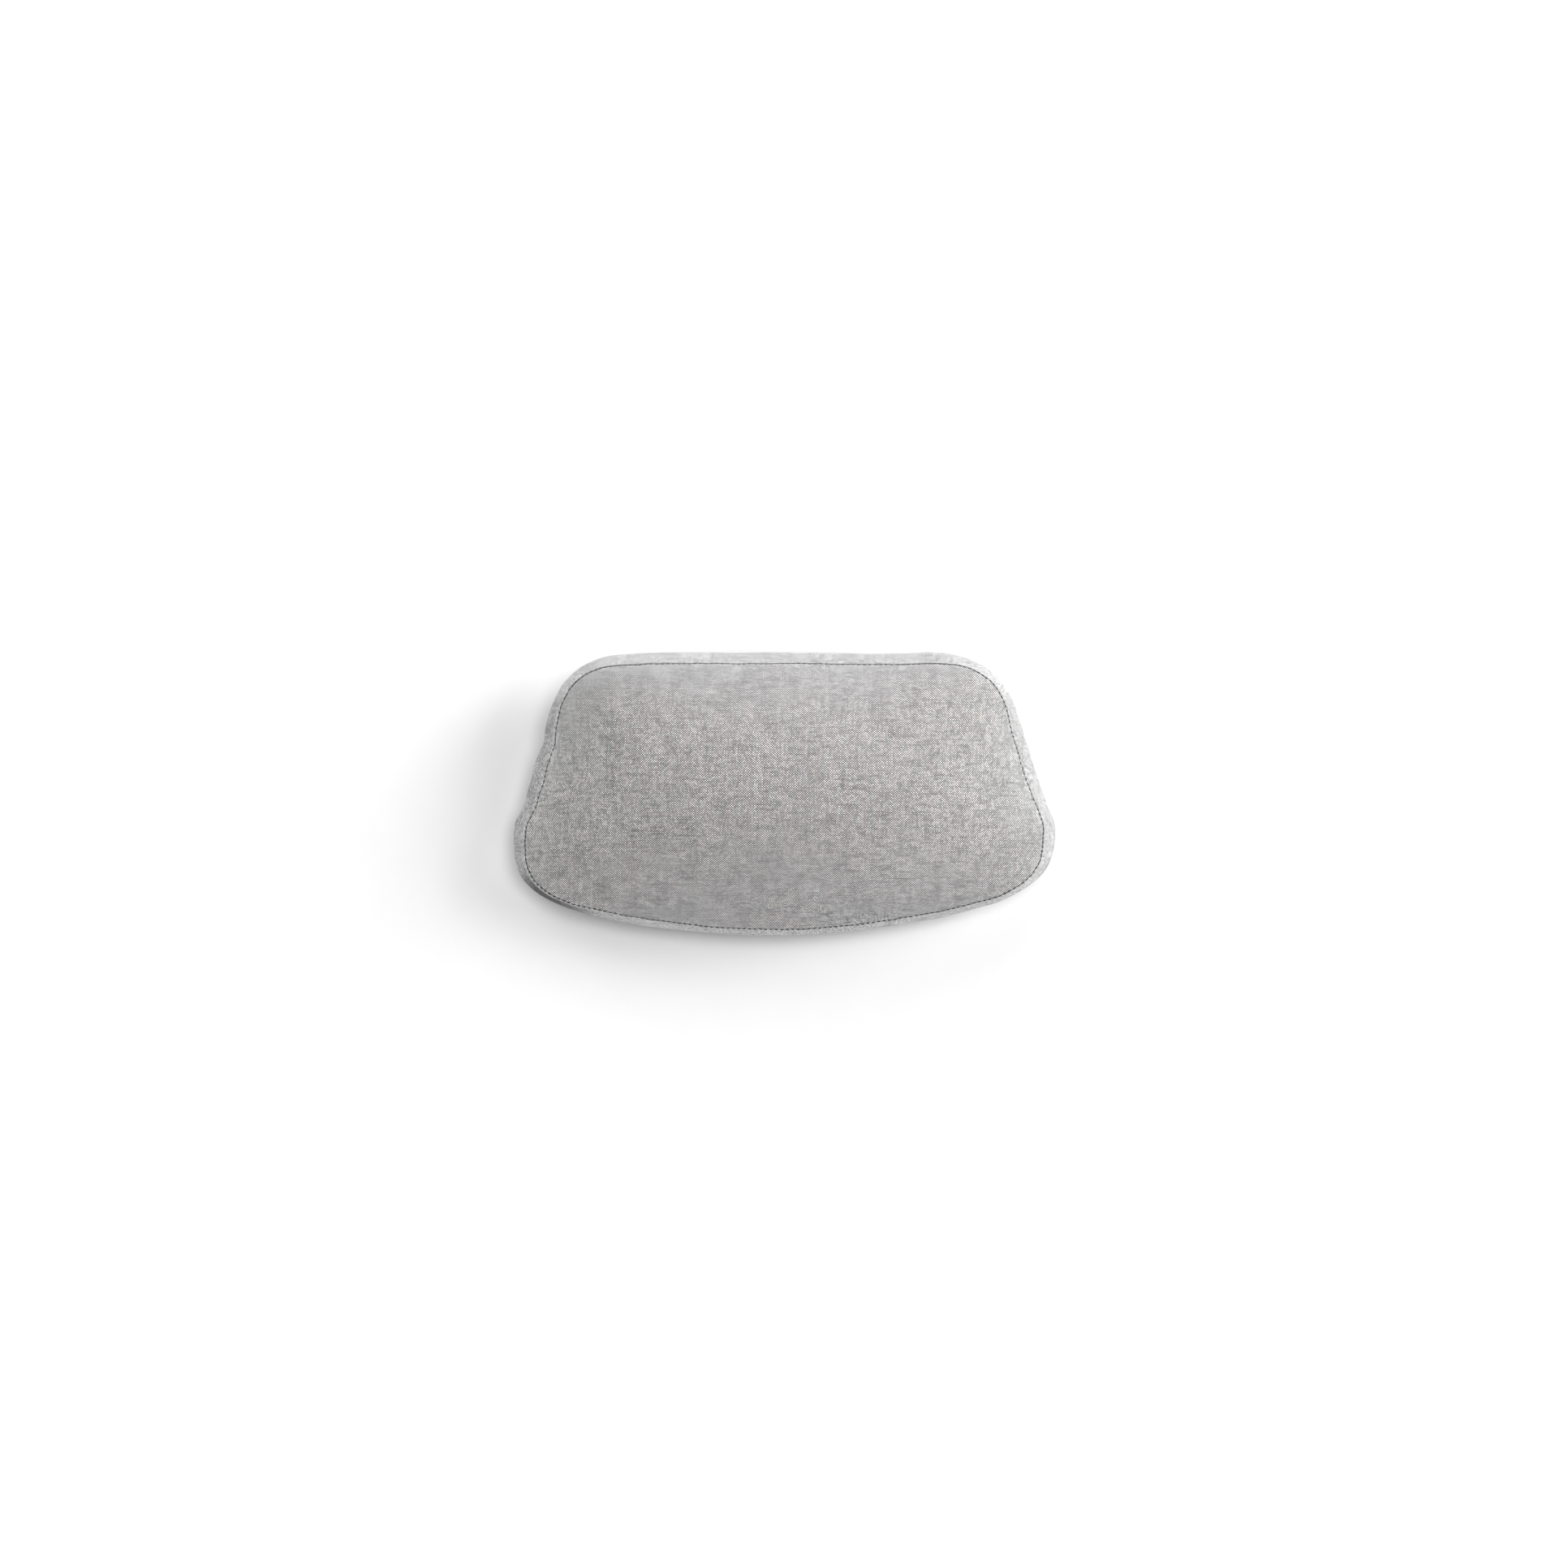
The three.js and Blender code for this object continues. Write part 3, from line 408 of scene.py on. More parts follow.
def weave_material(name, light=0.98, dark=0.02, gain=1.0):
    """Plain weave of a pale warp and a dark, slubby weft, in millimetres of cloth."""
    g = Nodes(name)
    u, v, _ = g.split(g.uv())
    press, painted_shade, _ = g.split(g.uv("press"))  # 1 where the cloth is folded and sewn flat; second value: painted shade, 1 where the cloth is darkened most
    # threads wander a little
    big = g.xyz(g.math("MULTIPLY", u, 0.045), g.math("MULTIPLY", v, 0.045), 3.7)
    du = g.math("MULTIPLY", g.math("SUBTRACT", g.noise(big, 0.35, 1.0), 0.5), 1.2)
    big2 = g.xyz(g.math("MULTIPLY", u, 0.05), g.math("MULTIPLY", v, 0.05), 11.3)
    dv = g.math("MULTIPLY", g.math("SUBTRACT", g.noise(big2, 0.35, 1.0), 0.5), 1.2)
    a = g.math("DIVIDE", g.math("ADD", u, du), WARP)
    b = g.math("DIVIDE", g.math("ADD", v, dv), WEFT)
    i, j = g.math("FLOOR", a), g.math("FLOOR", b)
    fa = g.math("SUBTRACT", g.math("FRACT", a), 0.5)
    fb = g.math("SUBTRACT", g.math("FRACT", b), 0.5)
    parity = g.math("MODULO", g.math("ADD", g.math("ADD", i, j), 4000.0), 2.0)
    up = g.math("GREATER_THAN", parity, 0.5)  # 1: weft on top

    def thread(across, along):
        c = g.math("MULTIPLY", g.math("ABSOLUTE", across), 2.0)
        body = g.math("SQRT", g.math("MAXIMUM", g.math("SUBTRACT", 1.0, g.math("MULTIPLY", g.math("MULTIPLY", c, c), 0.92)), 0.0))
        hump = g.math("COSINE", g.math("MULTIPLY", along, math.pi * 0.92))
        return g.math("MULTIPLY", body, g.math("ADD", 0.35, g.math("MULTIPLY", hump, 0.65)))

    hw, hf = thread(fa, fb), thread(fb, fa)
    height = g.lerp(up, hw, hf)
    # tone of each thread, varying along it
    t1 = g.noise(g.xyz(g.math("MULTIPLY", i, 0.73), g.math("MULTIPLY", v, 0.022), 0.0), 1.0, 1.0)
    t1b = g.noise(g.xyz(g.math("MULTIPLY", i, 3.17), g.math("MULTIPLY", v, 0.060), 8.0), 1.0, 1.0)
    warp = g.math("ADD", g.remap(t1, 0.25, 0.75, light * 0.86, light * 1.12, False), g.remap(t1b, 0.3, 0.7, -0.08, 0.08, False))
    t2 = g.noise(g.xyz(g.math("MULTIPLY", u, 0.055), g.math("MULTIPLY", j, 0.71), 5.0), 1.0, 2.0)
    t2b = g.noise(g.xyz(g.math("MULTIPLY", u, 0.16), g.math("MULTIPLY", j, 0.67), 6.5), 1.0, 2.0)
    slub = g.math("MULTIPLY", g.remap(t2, 0.50, 0.68, 1.0, 0.0), g.remap(t2b, 0.56, 0.70, 1.0, 0.15))
    t3 = g.noise(g.xyz(g.math("MULTIPLY", u, 0.16), g.math("MULTIPLY", j, 1.93), 9.0), 1.0, 1.0)
    weft = g.math("ADD", g.math("MULTIPLY", slub, 0.075), g.remap(t3, 0.3, 0.75, dark * 0.2, dark * 2.4, False))
    # a slub is thicker, and hides some of the warp beside it
    warp = g.math("MULTIPLY", warp, g.lerp(slub, 0.70, 1.03))
    tone = g.lerp(up, warp, weft)
    tone = g.lerp(press, tone, g.math("ADD", g.math("MULTIPLY", tone, 0.60), 0.375))
    cell = g.white(g.xyz(i, j, 1.0))
    tone = g.math("MULTIPLY", tone, g.remap(cell, 0.0, 1.0, 0.62, 1.38))
    # hairs of the spun thread
    hair = g.noise(g.xyz(g.math("MULTIPLY", a, 5.0), g.math("MULTIPLY", b, 5.0), 2.0), 1.0, 3.0)
    tone = g.math("MULTIPLY", tone, g.remap(hair, 0.3, 0.7, 0.92, 1.08))
    # shade at the bottom of the gaps
    tone = g.math("MULTIPLY", tone, g.remap(height, 0.1, 0.65, 0.38, 1.0))
    cloud = g.noise(g.xyz(g.math("MULTIPLY", u, 0.02), g.math("MULTIPLY", v, 0.03), 1.0), 1.0, 2.0)
    tone = g.math("MULTIPLY", tone, g.remap(cloud, 0.3, 0.7, 0.985 * gain, 1.015 * gain, False))
    # painted shade: the tone falls to 0.16 where the painted shade value is 1
    tone = g.math("MULTIPLY", tone, g.lerp(painted_shade, 1.0, 0.16))
    h2 = g.math("ADD", height, g.math("MULTIPLY", hair, 0.18))
    g.set(Base_Color=g.tint(tone, (1.0, 1.0, 1.0)), Roughness=0.92, Normal=g.bump(h2, 0.00022, 0.75))
    g.bsdf.inputs["Specular IOR Level"].default_value = 0.25
    g.bsdf.inputs["Sheen Weight"].default_value = 0.22
    g.bsdf.inputs["Sheen Roughness"].default_value = 0.45
    g.bsdf.inputs["Sheen Tint"].default_value = (1, 1, 1, 1)
    return g.mat


def thread_material(name, tone=0.075, ply=0.55):
    """Spun sewing thread: two plies twisted round each other."""
    g = Nodes(name)
    u, v, _ = g.split(g.uv())
    twist = g.math("SINE", g.math("ADD", g.math("MULTIPLY", u, TAU / ply), g.math("MULTIPLY", v, TAU)))
    fuzz = g.noise(g.xyz(g.math("MULTIPLY", u, 6.0), g.math("MULTIPLY", v, 5.0), 0.0), 1.0, 4.0)
    t = g.math("MULTIPLY", g.remap(twist, -1.0, 1.0, tone * 0.55, tone * 1.25), g.remap(fuzz, 0.3, 0.7, 0.8, 1.25))
    g.set(Base_Color=g.tint(t, (1.0, 1.0, 1.03)), Roughness=0.75, Normal=g.bump(g.math("ADD", twist, fuzz), 0.00008, 0.8))
    g.bsdf.inputs["Sheen Weight"].default_value = 0.15
    return g.mat


def metal_material(name, tone=0.52):
    g = Nodes(name)
    c = g.coords()
    x, y, z = g.split(c)
    grain = g.noise(g.xyz(g.math("MULTIPLY", x, 900.0), g.math("MULTIPLY", y, 5200.0), g.math("MULTIPLY", z, 5200.0)), 1.0, 3.0)
    wear = g.noise(c, 420.0, 4.0)
    r = g.math("ADD", g.remap(grain, 0.3, 0.7, 0.26, 0.42), g.remap(wear, 0.4, 0.8, 0.0, 0.15))
    t = g.remap(wear, 0.3, 0.8, tone * 0.86, tone * 1.08)
    g.set(Base_Color=g.tint(t, (1.0, 0.995, 0.985)), Metallic=1.0, Roughness=r, Normal=g.bump(grain, 0.00003, 0.5))
    return g.mat


def tape_material(name, tone=0.14):
    """Herringbone zip tape."""
    g = Nodes(name)
    x, y, z = g.split(g.coords())
    s = g.math("ADD", g.math("MULTIPLY", y, 0.3758), g.math("MULTIPLY", z, 0.9267))
    a, b = g.math("MULTIPLY", x, 1000 / 0.42), g.math("MULTIPLY", s, 1000 / 0.55)
    zig = g.math("ABSOLUTE", g.math("SUBTRACT", g.math("FRACT", g.math("MULTIPLY", b, 0.25)), 0.5))
    rib = g.math("SINE", g.math("MULTIPLY", g.math("ADD", a, g.math("MULTIPLY", zig, 6.0)), math.pi))
    row = g.math("SINE", g.math("MULTIPLY", b, TAU))
    n = g.noise(g.xyz(a, b, 0.0), 0.8, 3.0)
    h = g.math("ADD", g.math("MULTIPLY", rib, 0.6), g.math("MULTIPLY", row, 0.3))
    t = g.math("MULTIPLY", g.remap(h, -0.9, 0.9, tone * 0.55, tone * 1.2), g.remap(n, 0.3, 0.7, 0.85, 1.15))
    g.set(Base_Color=g.tint(t, (1.0, 1.0, 1.02)), Roughness=0.85, Normal=g.bump(h, 0.00007, 0.9))
    g.bsdf.inputs["Sheen Weight"].default_value = 0.15
    return g.mat


def nylon_material(name, tone=0.10):
    g = Nodes(name)
    c = g.coords()
    n = g.noise(c, 2600.0, 3.0)
    g.set(Base_Color=g.tint(g.remap(n, 0.3, 0.7, tone * 0.8, tone * 1.25), (1.0, 1.0, 1.03)), Roughness=g.remap(n, 0.3, 0.7, 0.32, 0.48),
          Normal=g.bump(n, 0.00002, 0.4))
    return g.mat


def hook_material(name, tone=0.045):
    g = Nodes(name)
    c = g.coords()
    x, y, z = g.split(c)
    wv = g.math("MULTIPLY", g.math("SINE", g.math("MULTIPLY", x, TAU * 1000 / 0.8)), g.math("SINE", g.math("MULTIPLY", y, TAU * 1000 / 0.7)))
    n = g.noise(c, 900.0, 4.0)
    t = g.math("MULTIPLY", g.remap(wv, -1.0, 1.0, tone * 0.65, tone * 1.3), g.remap(n, 0.3, 0.7, 0.8, 1.2))
    g.set(Base_Color=g.tint(t, (1.0, 1.0, 1.04)), Roughness=0.6, Normal=g.bump(g.math("ADD", wv, n), 0.00006, 0.6))
    return g.mat


def foam_material(name):
    g = Nodes(name)
    c = g.coords()
    vor = g.t.nodes.new("ShaderNodeTexVoronoi")
    g.put(vor.inputs["Vector"], c)
    vor.inputs["Scale"].default_value = 900.0
    cells = vor.outputs["Distance"]
    n = g.noise(c, 60.0, 4.0)
    t = g.math("MULTIPLY", g.remap(cells, 0.1, 0.7, 0.62, 0.92), g.remap(n, 0.3, 0.7, 0.93, 1.05))
    g.set(Base_Color=g.tint(t, (1.0, 0.93, 0.72)), Roughness=0.95, Normal=g.bump(cells, 0.0003, 0.8))
    return g.mat


def wadding_material(name):
    g = Nodes(name)
    c = g.coords()
    n = g.noise(c, 240.0, 8.0, 0.7)
    m = g.noise(c, 26.0, 3.0)
    g.set(Base_Color=g.tint(g.math("MULTIPLY", g.remap(n, 0.3, 0.75, 0.62, 0.9), g.remap(m, 0.3, 0.7, 0.94, 1.04)), (1.0, 1.0, 0.98)),
          Roughness=1.0, Normal=g.bump(n, 0.0008, 0.9))
    g.bsdf.inputs["Sheen Weight"].default_value = 0.5
    return g.mat


def board_material(name):
    g = Nodes(name)
    c = g.coords()
    x, y, z = g.split(c)
    fib = g.noise(g.xyz(g.math("MULTIPLY", x, 180.0), g.math("MULTIPLY", y, 700.0), g.math("MULTIPLY", z, 700.0)), 1.0, 6.0)
    n = g.noise(c, 70.0, 3.0)
    t = g.math("MULTIPLY", g.remap(fib, 0.3, 0.7, 0.34, 0.62), g.remap(n, 0.3, 0.7, 0.9, 1.1))
    g.set(Base_Color=g.tint(t, (1.0, 0.76, 0.47)), Roughness=0.7, Normal=g.bump(fib, 0.0001, 0.5))
    return g.mat


FABRIC_MAT = weave_material("melange_weave", gain=0.768)
THREAD_MAT = thread_material("dark_thread", tone=0.055)
METAL_MAT = metal_material("satin_plate")
TAPE_MAT = tape_material("zip_tape")
NYLON_MAT = nylon_material("zip_nylon")
HOOK_MAT = hook_material("hook_plastic")
FOAM_MAT = foam_material("foam")
WADDING_MAT = wadding_material("wadding")
BOARD_MAT = board_material("pressed_board")


def finish_piece(ob, mat, body, nodes=()):
    ob.data.materials.clear()
    ob.data.materials.append(mat)
    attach(ob, body)
    if nodes:
        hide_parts(*nodes)
    return ob


# ---------------------------------------------------------------------------
# upper cover: upper leaf of the flange, the stitched groove and the crown
# ---------------------------------------------------------------------------
def flange_point(f, h):
    """f outward from the stitch line along the flange, h above its top face."""
    d = f * CT + h * SN
    return np.stack([S[:, 0] + NRM[:, 0] * d, S[:, 1] + NRM[:, 1] * d, ZS - f * SN + h * CT], 1)


cosp = np.cos(TAU * (PHASE - 0.5))  # 1 in the middle of a stitch
PUCK_A = ring_noise(M, 46, 21)
PUCK_B = ring_noise(M, 95, 22)
RIP = ring_noise(M, 60, 23)
EDGE_WAVE = 0.30 * ring_noise(M, 44, 24) + 0.16 * ring_noise(M, 110, 25)
LIFTED = smooth_ring(np.clip((TILT_MAX - TILT) / (TILT_MAX - TILT_MIN), 0, 1), M / LENGTH * 4)


def flange_shape(q):
    """Height of the flange's top face at share q of its width, 0 at the stitch line."""
    body = 0.16 * np.sin(math.pi * np.clip(q, 0, 1)) ** 0.8
    ripple = 0.055 * cosp * math.exp(-((q - 0.16) / 0.14) ** 2)
    return body - ripple + EDGE_WAVE * q ** 1.5 * (0.5 + 0.8 * LIFTED) + 0.12 * PUCK_B * math.sin(math.pi * min(1, q))


groove = 0.42 + 0.20 * cosp
rows = []
REACH = (0.85 * SN + 0.45) / CT  # the fold's roundness would otherwise narrow the flange seen from above
for back, h in ((0.75, -1.72), (0.35, -1.64), (0.09, -1.44), (0.0, -1.10), (0.03, -0.72), (0.12, -0.38), (0.30, -0.14), (0.62, -0.02)):
    rows.append(flange_point(FULL + REACH - back, h + flange_shape(1.0)))
for f in np.linspace(0.86, 0.16, 10):
    rows.append(flange_point((FULL + REACH) * f, flange_shape(float(f))))
for f, sink in ((0.95, 0.05), (0.7, 0.16), (0.48, 0.4), (0.3, 0.72), (0.12, 0.95)):
    rows.append(flange_point(np.full(M, f), flange_shape(f / 7.5) - groove * sink))
FLANGE_ROWS = len(rows)

RD = S / _RS[:, None]
ALONG = np.clip((NRM * RD).sum(1), 0.45, 1)


def crown_normal(p):
    h = 1.0
    zx = (dome(p[:, 0] + h, p[:, 1]) - dome(p[:, 0] - h, p[:, 1])) / (2 * h)
    zy = (dome(p[:, 0], p[:, 1] + h) - dome(p[:, 0], p[:, 1] - h)) / (2 * h)
    zx, zy = np.clip(zx, -1.8, 1.8), np.clip(zy, -1.8, 1.8)
    n = np.column_stack([-zx, -zy, np.ones(len(p))])
    return n / np.linalg.norm(n, axis=1)[:, None]


flange_up = np.column_stack([NRM * SN[:, None], CT])
_edge = S - RD * (1.5 / ALONG)[:, None]
crown_up = crown_normal(_edge)
seam_up = flange_up + crown_up
seam_up /= np.linalg.norm(seam_up, axis=1)[:, None]
KS = smooth_ring(slope_factor(_edge[:, 0], _edge[:, 1]), 6)
SEAM3 = np.column_stack([S, ZS])
rows.append(SEAM3 - seam_up * groove[:, None])

near = [0.14, 0.3, 0.5, 0.75, 1.1, 1.55, 2.1, 2.8, 3.6, 4.6, 5.8, 7.2, 9.0, 11.2, 13.8, 17.0, 21.0, 25.5]
far = np.linspace(0, 1, 26)[1:-1]

# ---------------------------------------------------------------------------
# the crown as cloth: pinned along the stitches and blown up from inside
# ---------------------------------------------------------------------------
def crown_mesh(step):
    """Even triangle mesh over the stitch line's inside; the pinned ring comes first."""
    n = int(LENGTH / step)
    ring = S[(np.arange(n) * M / n).astype(int)]
    nxt = np.roll(ring, -1, 0)
    d = nxt - ring
    pts = [tuple(p) for p in ring]
    for r, y in enumerate(np.arange(-96.0, 96.0, step * 0.866)):
        for x in np.arange(-186.0, 186.0, step) + (step / 2 if r % 2 else 0):
            w = np.array([x, y]) - ring
            t = np.clip((w * d).sum(1) / (d * d).sum(1), 0, 1)
            near_edge = np.hypot(*(w - d * t[:, None]).T).min() < step * 0.55
            cross = ((ring[:, 1] > y) != (nxt[:, 1] > y)) & (x < d[:, 0] * (y - ring[:, 1]) / (d[:, 1] + 1e-12) + ring[:, 0])
            if not near_edge and cross.sum() % 2 == 1:
                pts.append((x, y))
    edges = [(i, (i + 1) % n) for i in range(n)]
    v, _, f, _, _, _ = delaunay_2d_cdt([Vector(p) for p in pts], edges, [], 1, 1e-5)
    return np.array([tuple(q) for q in v]), [tuple(q) for q in f], n


def simulate_crown(step=4.2, cap=6.0):
    """Plan position of each cloth point and how far it moved along the crown's normal, mm."""
    p, faces, n = crown_mesh(step)
    base = np.column_stack([p, dome(p[:, 0], p[:, 1])])
    normal = crown_normal(p)
    start = base.copy()
    start[:, 2] = 0.015 * around(ZS, np.arctan2(p[:, 1], p[:, 0])) + 0.985 * base[:, 2]
    start[:n, 2] = ZS[(np.arange(n) * M / n).astype(int)]
    ob = make_object("crown_cloth", start * MM, faces)
    ob.vertex_groups.new(name="pin").add(list(range(n)), 1.0, "REPLACE")
    md = ob.modifiers.new("cloth", "CLOTH")
    st = md.settings
    st.quality = 6
    st.mass = 0.3
    st.tension_stiffness = st.compression_stiffness = 15
    st.shear_stiffness = 5
    st.bending_stiffness = 0.4
    st.use_pressure = True
    st.uniform_pressure_force = 12.0
    st.vertex_group_mass = "pin"
    st.shrink_min = -0.010
    st.effector_weights.gravity = 0.0
    md.collision_settings.use_collision = False
    md.collision_settings.use_self_collision = False
    md.point_cache.frame_start = 1
    md.point_cache.frame_end = 20
    sc = bpy.context.scene
    for frame_no in range(1, 21):
        sc.frame_set(frame_no)
    dg = bpy.context.evaluated_depsgraph_get()
    me = ob.evaluated_get(dg).to_mesh()
    co = np.zeros(len(me.vertices) * 3, np.float32)
    me.vertices.foreach_get("co", co)
    co = co.reshape(-1, 3).astype(float) / MM
    ob.evaluated_get(dg).to_mesh_clear()
    sc.frame_set(1)
    mesh = ob.data
    bpy.data.objects.remove(ob)
    bpy.data.meshes.remove(mesh)
    return p, np.clip(((co - base) * normal).sum(1), -cap, cap)


def blur(a, sigma):
    k = np.exp(-0.5 * (np.arange(-int(3 * sigma) - 1, int(3 * sigma) + 2) / sigma) ** 2)
    k /= k.sum()
    for axis in (0, 1):
        a = np.apply_along_axis(lambda r: np.convolve(np.pad(r, len(k) // 2, mode="edge"), k, mode="valid"), axis, a)
    return a


def local_field(p, d, sigma):
    """The cloth's own wrinkles on the 1 mm plan grid: its movement less the wide part of it."""
    tree = KDTree(len(p))
    for i, q in enumerate(p):
        tree.insert((q[0], q[1], 0), i)
    tree.balance()
    gx, gy = GX[::2], GY[::2]
    out = np.zeros((len(gy), len(gx)))
    for j, y in enumerate(gy):
        for i, x in enumerate(gx):
            hits = tree.find_n((x, y, 0), 7)
            w = np.array([math.exp(-0.5 * (h[2] / 3.2) ** 2) + 1e-9 for h in hits])
            out[j, i] = float((w * d[[h[1] for h in hits]]).sum() / w.sum())
    full = np.array([np.interp(GX, gx, r) for r in out])
    full = np.array([np.interp(GY, gy, c) for c in full.T]).T
    full = blur(full, 1.3)
    inside = (_gr <= _rs).astype(float)
    wide = blur(full * inside, sigma) / np.maximum(blur(inside, sigma), 0.05)
    return (full - wide) * smoothstep((_gr / _rs - 0.25) / 0.45)


_p, _d = simulate_crown()
LOCAL = local_field(_p, _d, 16.0)
print("cloth: moved %.2f to %.2f mm, mean %.2f; kept wrinkles %.2f to %.2f, std %.2f"
      % (_d.min(), _d.max(), _d.mean(), LOCAL.min(), LOCAL.max(), LOCAL[_gr < _rs].std()))
LOCAL = np.clip(LOCAL, -1.5, 1.5)


def crown_offset(i):
    """What stitching and stretch add to the crown at i along the cloth from the stitches."""
    sink = groove * np.exp(-((i / 0.55) ** 1.6))
    swell = 0.15 * (1 - np.exp(-i / 0.8)) * np.exp(-i / 9.0) + 3.9 * (1 - np.exp(-i / 7.0)) * np.exp(-((i / 60.0) ** 2))
    ripple = 0.07 * cosp * np.exp(-(((i - 1.1) / 0.9) ** 2))
    pucker = (0.16 * PUCK_B * np.exp(-i / 3.5) + 0.26 * PUCK_A * np.exp(-(((i - 4.0) / 6.5) ** 2))) * (1 - np.exp(-i / 1.2))
    return -sink + swell - ripple + pucker


def crown_row(p, i):
    q = np.hypot(p[:, 0], p[:, 1]) / _RS
    off = crown_offset(i) + CLOTH_GAIN * bilinear(LOCAL, p[:, 0], p[:, 1]) * smoothstep((1 - q) / 0.045)
    return np.column_stack([p, dome(p[:, 0], p[:, 1])]) + crown_normal(p) * off[:, None]


CLOTH_GAIN = 0.42
for i in near:
    d = i / ALONG / KS
    rows.append(crown_row(S - RD * d[:, None], i))
rim = S - RD * (near[-1] / ALONG / KS)[:, None]
for t in far:
    rows.append(crown_row(rim * (1 - t), near[-1] + t * 90.0))

# inner face of the cloth
inner = []
for t in (0.9, 0.7, 0.5, 0.35, 0.2, 0.1, 0.0):
    p = rim * (1 - t)
    inner.append(crown_row(p, near[-1] + t * 90.0) - crown_normal(p) * FABRIC)
for i in (17.0, 11.2, 7.2, 4.6, 2.8):
    p = S - RD * (i / ALONG / KS)[:, None]
    inner.append(crown_row(p, i) - crown_normal(p) * FABRIC)
inner.append(flange_point(np.zeros(M), -1.72))
inner.append(flange_point(FULL * 0.5, -1.72 + 0.0))


def loop_uv(ob, name, fn):
    """Fill a UV layer from fn(vertex index per loop, face index per loop)."""
    me = ob.data
    layer = me.uv_layers.get(name) or me.uv_layers.new(name=name)
    vi = np.zeros(len(me.loops), np.int32)
    me.loops.foreach_get("vertex_index", vi)
    start = np.zeros(len(me.polygons), np.int32)
    total = np.zeros(len(me.polygons), np.int32)
    me.polygons.foreach_get("loop_start", start)
    me.polygons.foreach_get("loop_total", total)
    fi = np.zeros(len(me.loops), np.int32)
    fi[start] = 1
    fi = np.cumsum(fi) - 1
    layer.data.foreach_set("uv", np.asarray(fn(vi, fi, start), np.float32).reshape(-1))


INNER_ROWS = len(inner)
allrows = inner + rows
v = np.concatenate(allrows)
NR = len(allrows)
faces = [tuple(int(a) for a in f) for f in ring_faces(NR, M)]
kk = np.arange(M)
faces += [(NR * M, int(a), int((a + 1) % M)) for a in kk]
o = (NR - 1) * M
faces += [(NR * M + 1, int(o + (a + 1) % M), int(o + a)) for a in kk]
v = np.concatenate([v, [[0, 0, HEIGHT - FABRIC]], [[0, 0, HEIGHT]]])
cover_top = make_object("cover_top", v * MM, faces)
FLAT = np.stack([bilinear(_U, v[:, 0], v[:, 1]), bilinear(_V, v[:, 0], v[:, 1])], 1)
_row = np.r_[np.repeat(np.arange(NR), M), NR, NR]
_col = np.r_[np.tile(np.arange(M), NR), 0, 0]
_out = np.array([np.r_[0, np.cumsum(np.linalg.norm(np.diff(np.stack([r[0] for r in rows[:FLANGE_ROWS + 1]]), axis=0), axis=1))][j] for j in range(FLANGE_ROWS + 1)])


def cover_uv(vi, fi, start):
    uv = FLAT[vi].copy()
    first_row = _row[vi[start[fi]]]
    low_row = np.full(len(start), 10 ** 6)
    np.minimum.at(low_row, fi, _row[vi])
    on = (low_row[fi] >= INNER_ROWS) & (low_row[fi] < INNER_ROWS + FLANGE_ROWS)
    col = _col[vi].astype(float)
    c_max = np.zeros(len(start))
    np.maximum.at(c_max, fi, col)
    wrap = (c_max[fi] == M - 1) & (col == 0)
    col = np.where(wrap, M, col)
    across = np.interp(_row[vi] - INNER_ROWS, np.arange(len(_out)), _out)
    uv[on, 0] = col[on] / M * LENGTH + 900.0
    uv[on, 1] = across[on] + 300.0
    return uv


_near = int(np.argmin(np.hypot(E[:, 0] + 157.5, E[:, 1] + 65.0)))
_gap = (ARC - ARC[_near] + LENGTH / 2) % LENGTH - LENGTH / 2
STEEP = np.clip((TILT - 0.35) / 0.6, 0, 1)
PAINTED_SHADE_MASK = np.exp(-np.abs(_gap / np.where(_gap > 0, 24.0, 32.0)) ** 2.6)  # painted shade: the front left corner of the flange is darkened

# painted shade carried on along the left flange, at 0.26
PAINTED_SHADE_MASK = np.maximum(PAINTED_SHADE_MASK, 0.26 * smoothstep((-140.0 - E[:, 0]) / 14.0) * smoothstep((74.0 - E[:, 1]) / 20.0))


# first value: the flange's pressed cloth; second value: painted shade
def cover_press_and_shade(vi, fi, start):
    low_row = np.full(len(start), 10 ** 6)
    np.minimum.at(low_row, fi, _row[vi])
    on = (low_row[fi] < INNER_ROWS + FLANGE_ROWS)
    # painted shade of the front left corner and the left flange, on the flange rows only
    corner_shade_paint = PAINTED_SHADE_MASK[_col[vi]] * np.interp(_row[vi] - INNER_ROWS, (0, 14, 17, 18), (1, 1, 0.15, 0)) * (_row[vi] >= INNER_ROWS)
    # painted shade in the stitch groove, stronger where the flange is steep and on the left side
    groove_shade_paint = np.interp(_row[vi] - INNER_ROWS, (FLANGE_ROWS - 3, FLANGE_ROWS - 1, FLANGE_ROWS + 1, FLANGE_ROWS + 3), (0, 1, 1, 0))
    groove_shade_paint = groove_shade_paint * (0.26 + 0.36 * STEEP[_col[vi]] + 0.2 * (E[_col[vi], 0] < -140.0)) * (_row[vi] >= INNER_ROWS)
    return np.column_stack([on.astype(float), np.maximum(corner_shade_paint, groove_shade_paint)])


loop_uv(cover_top, "weave", cover_uv)
# the press layer's second value carries painted shade
loop_uv(cover_top, "press", cover_press_and_shade)
bm = bmesh.new()
bm.from_mesh(cover_top.data)
bmesh.ops.recalc_face_normals(bm, faces=bm.faces)
bm.to_mesh(cover_top.data)
bm.free()
finish_piece(cover_top, FABRIC_MAT, "pad", ["top_panel"])

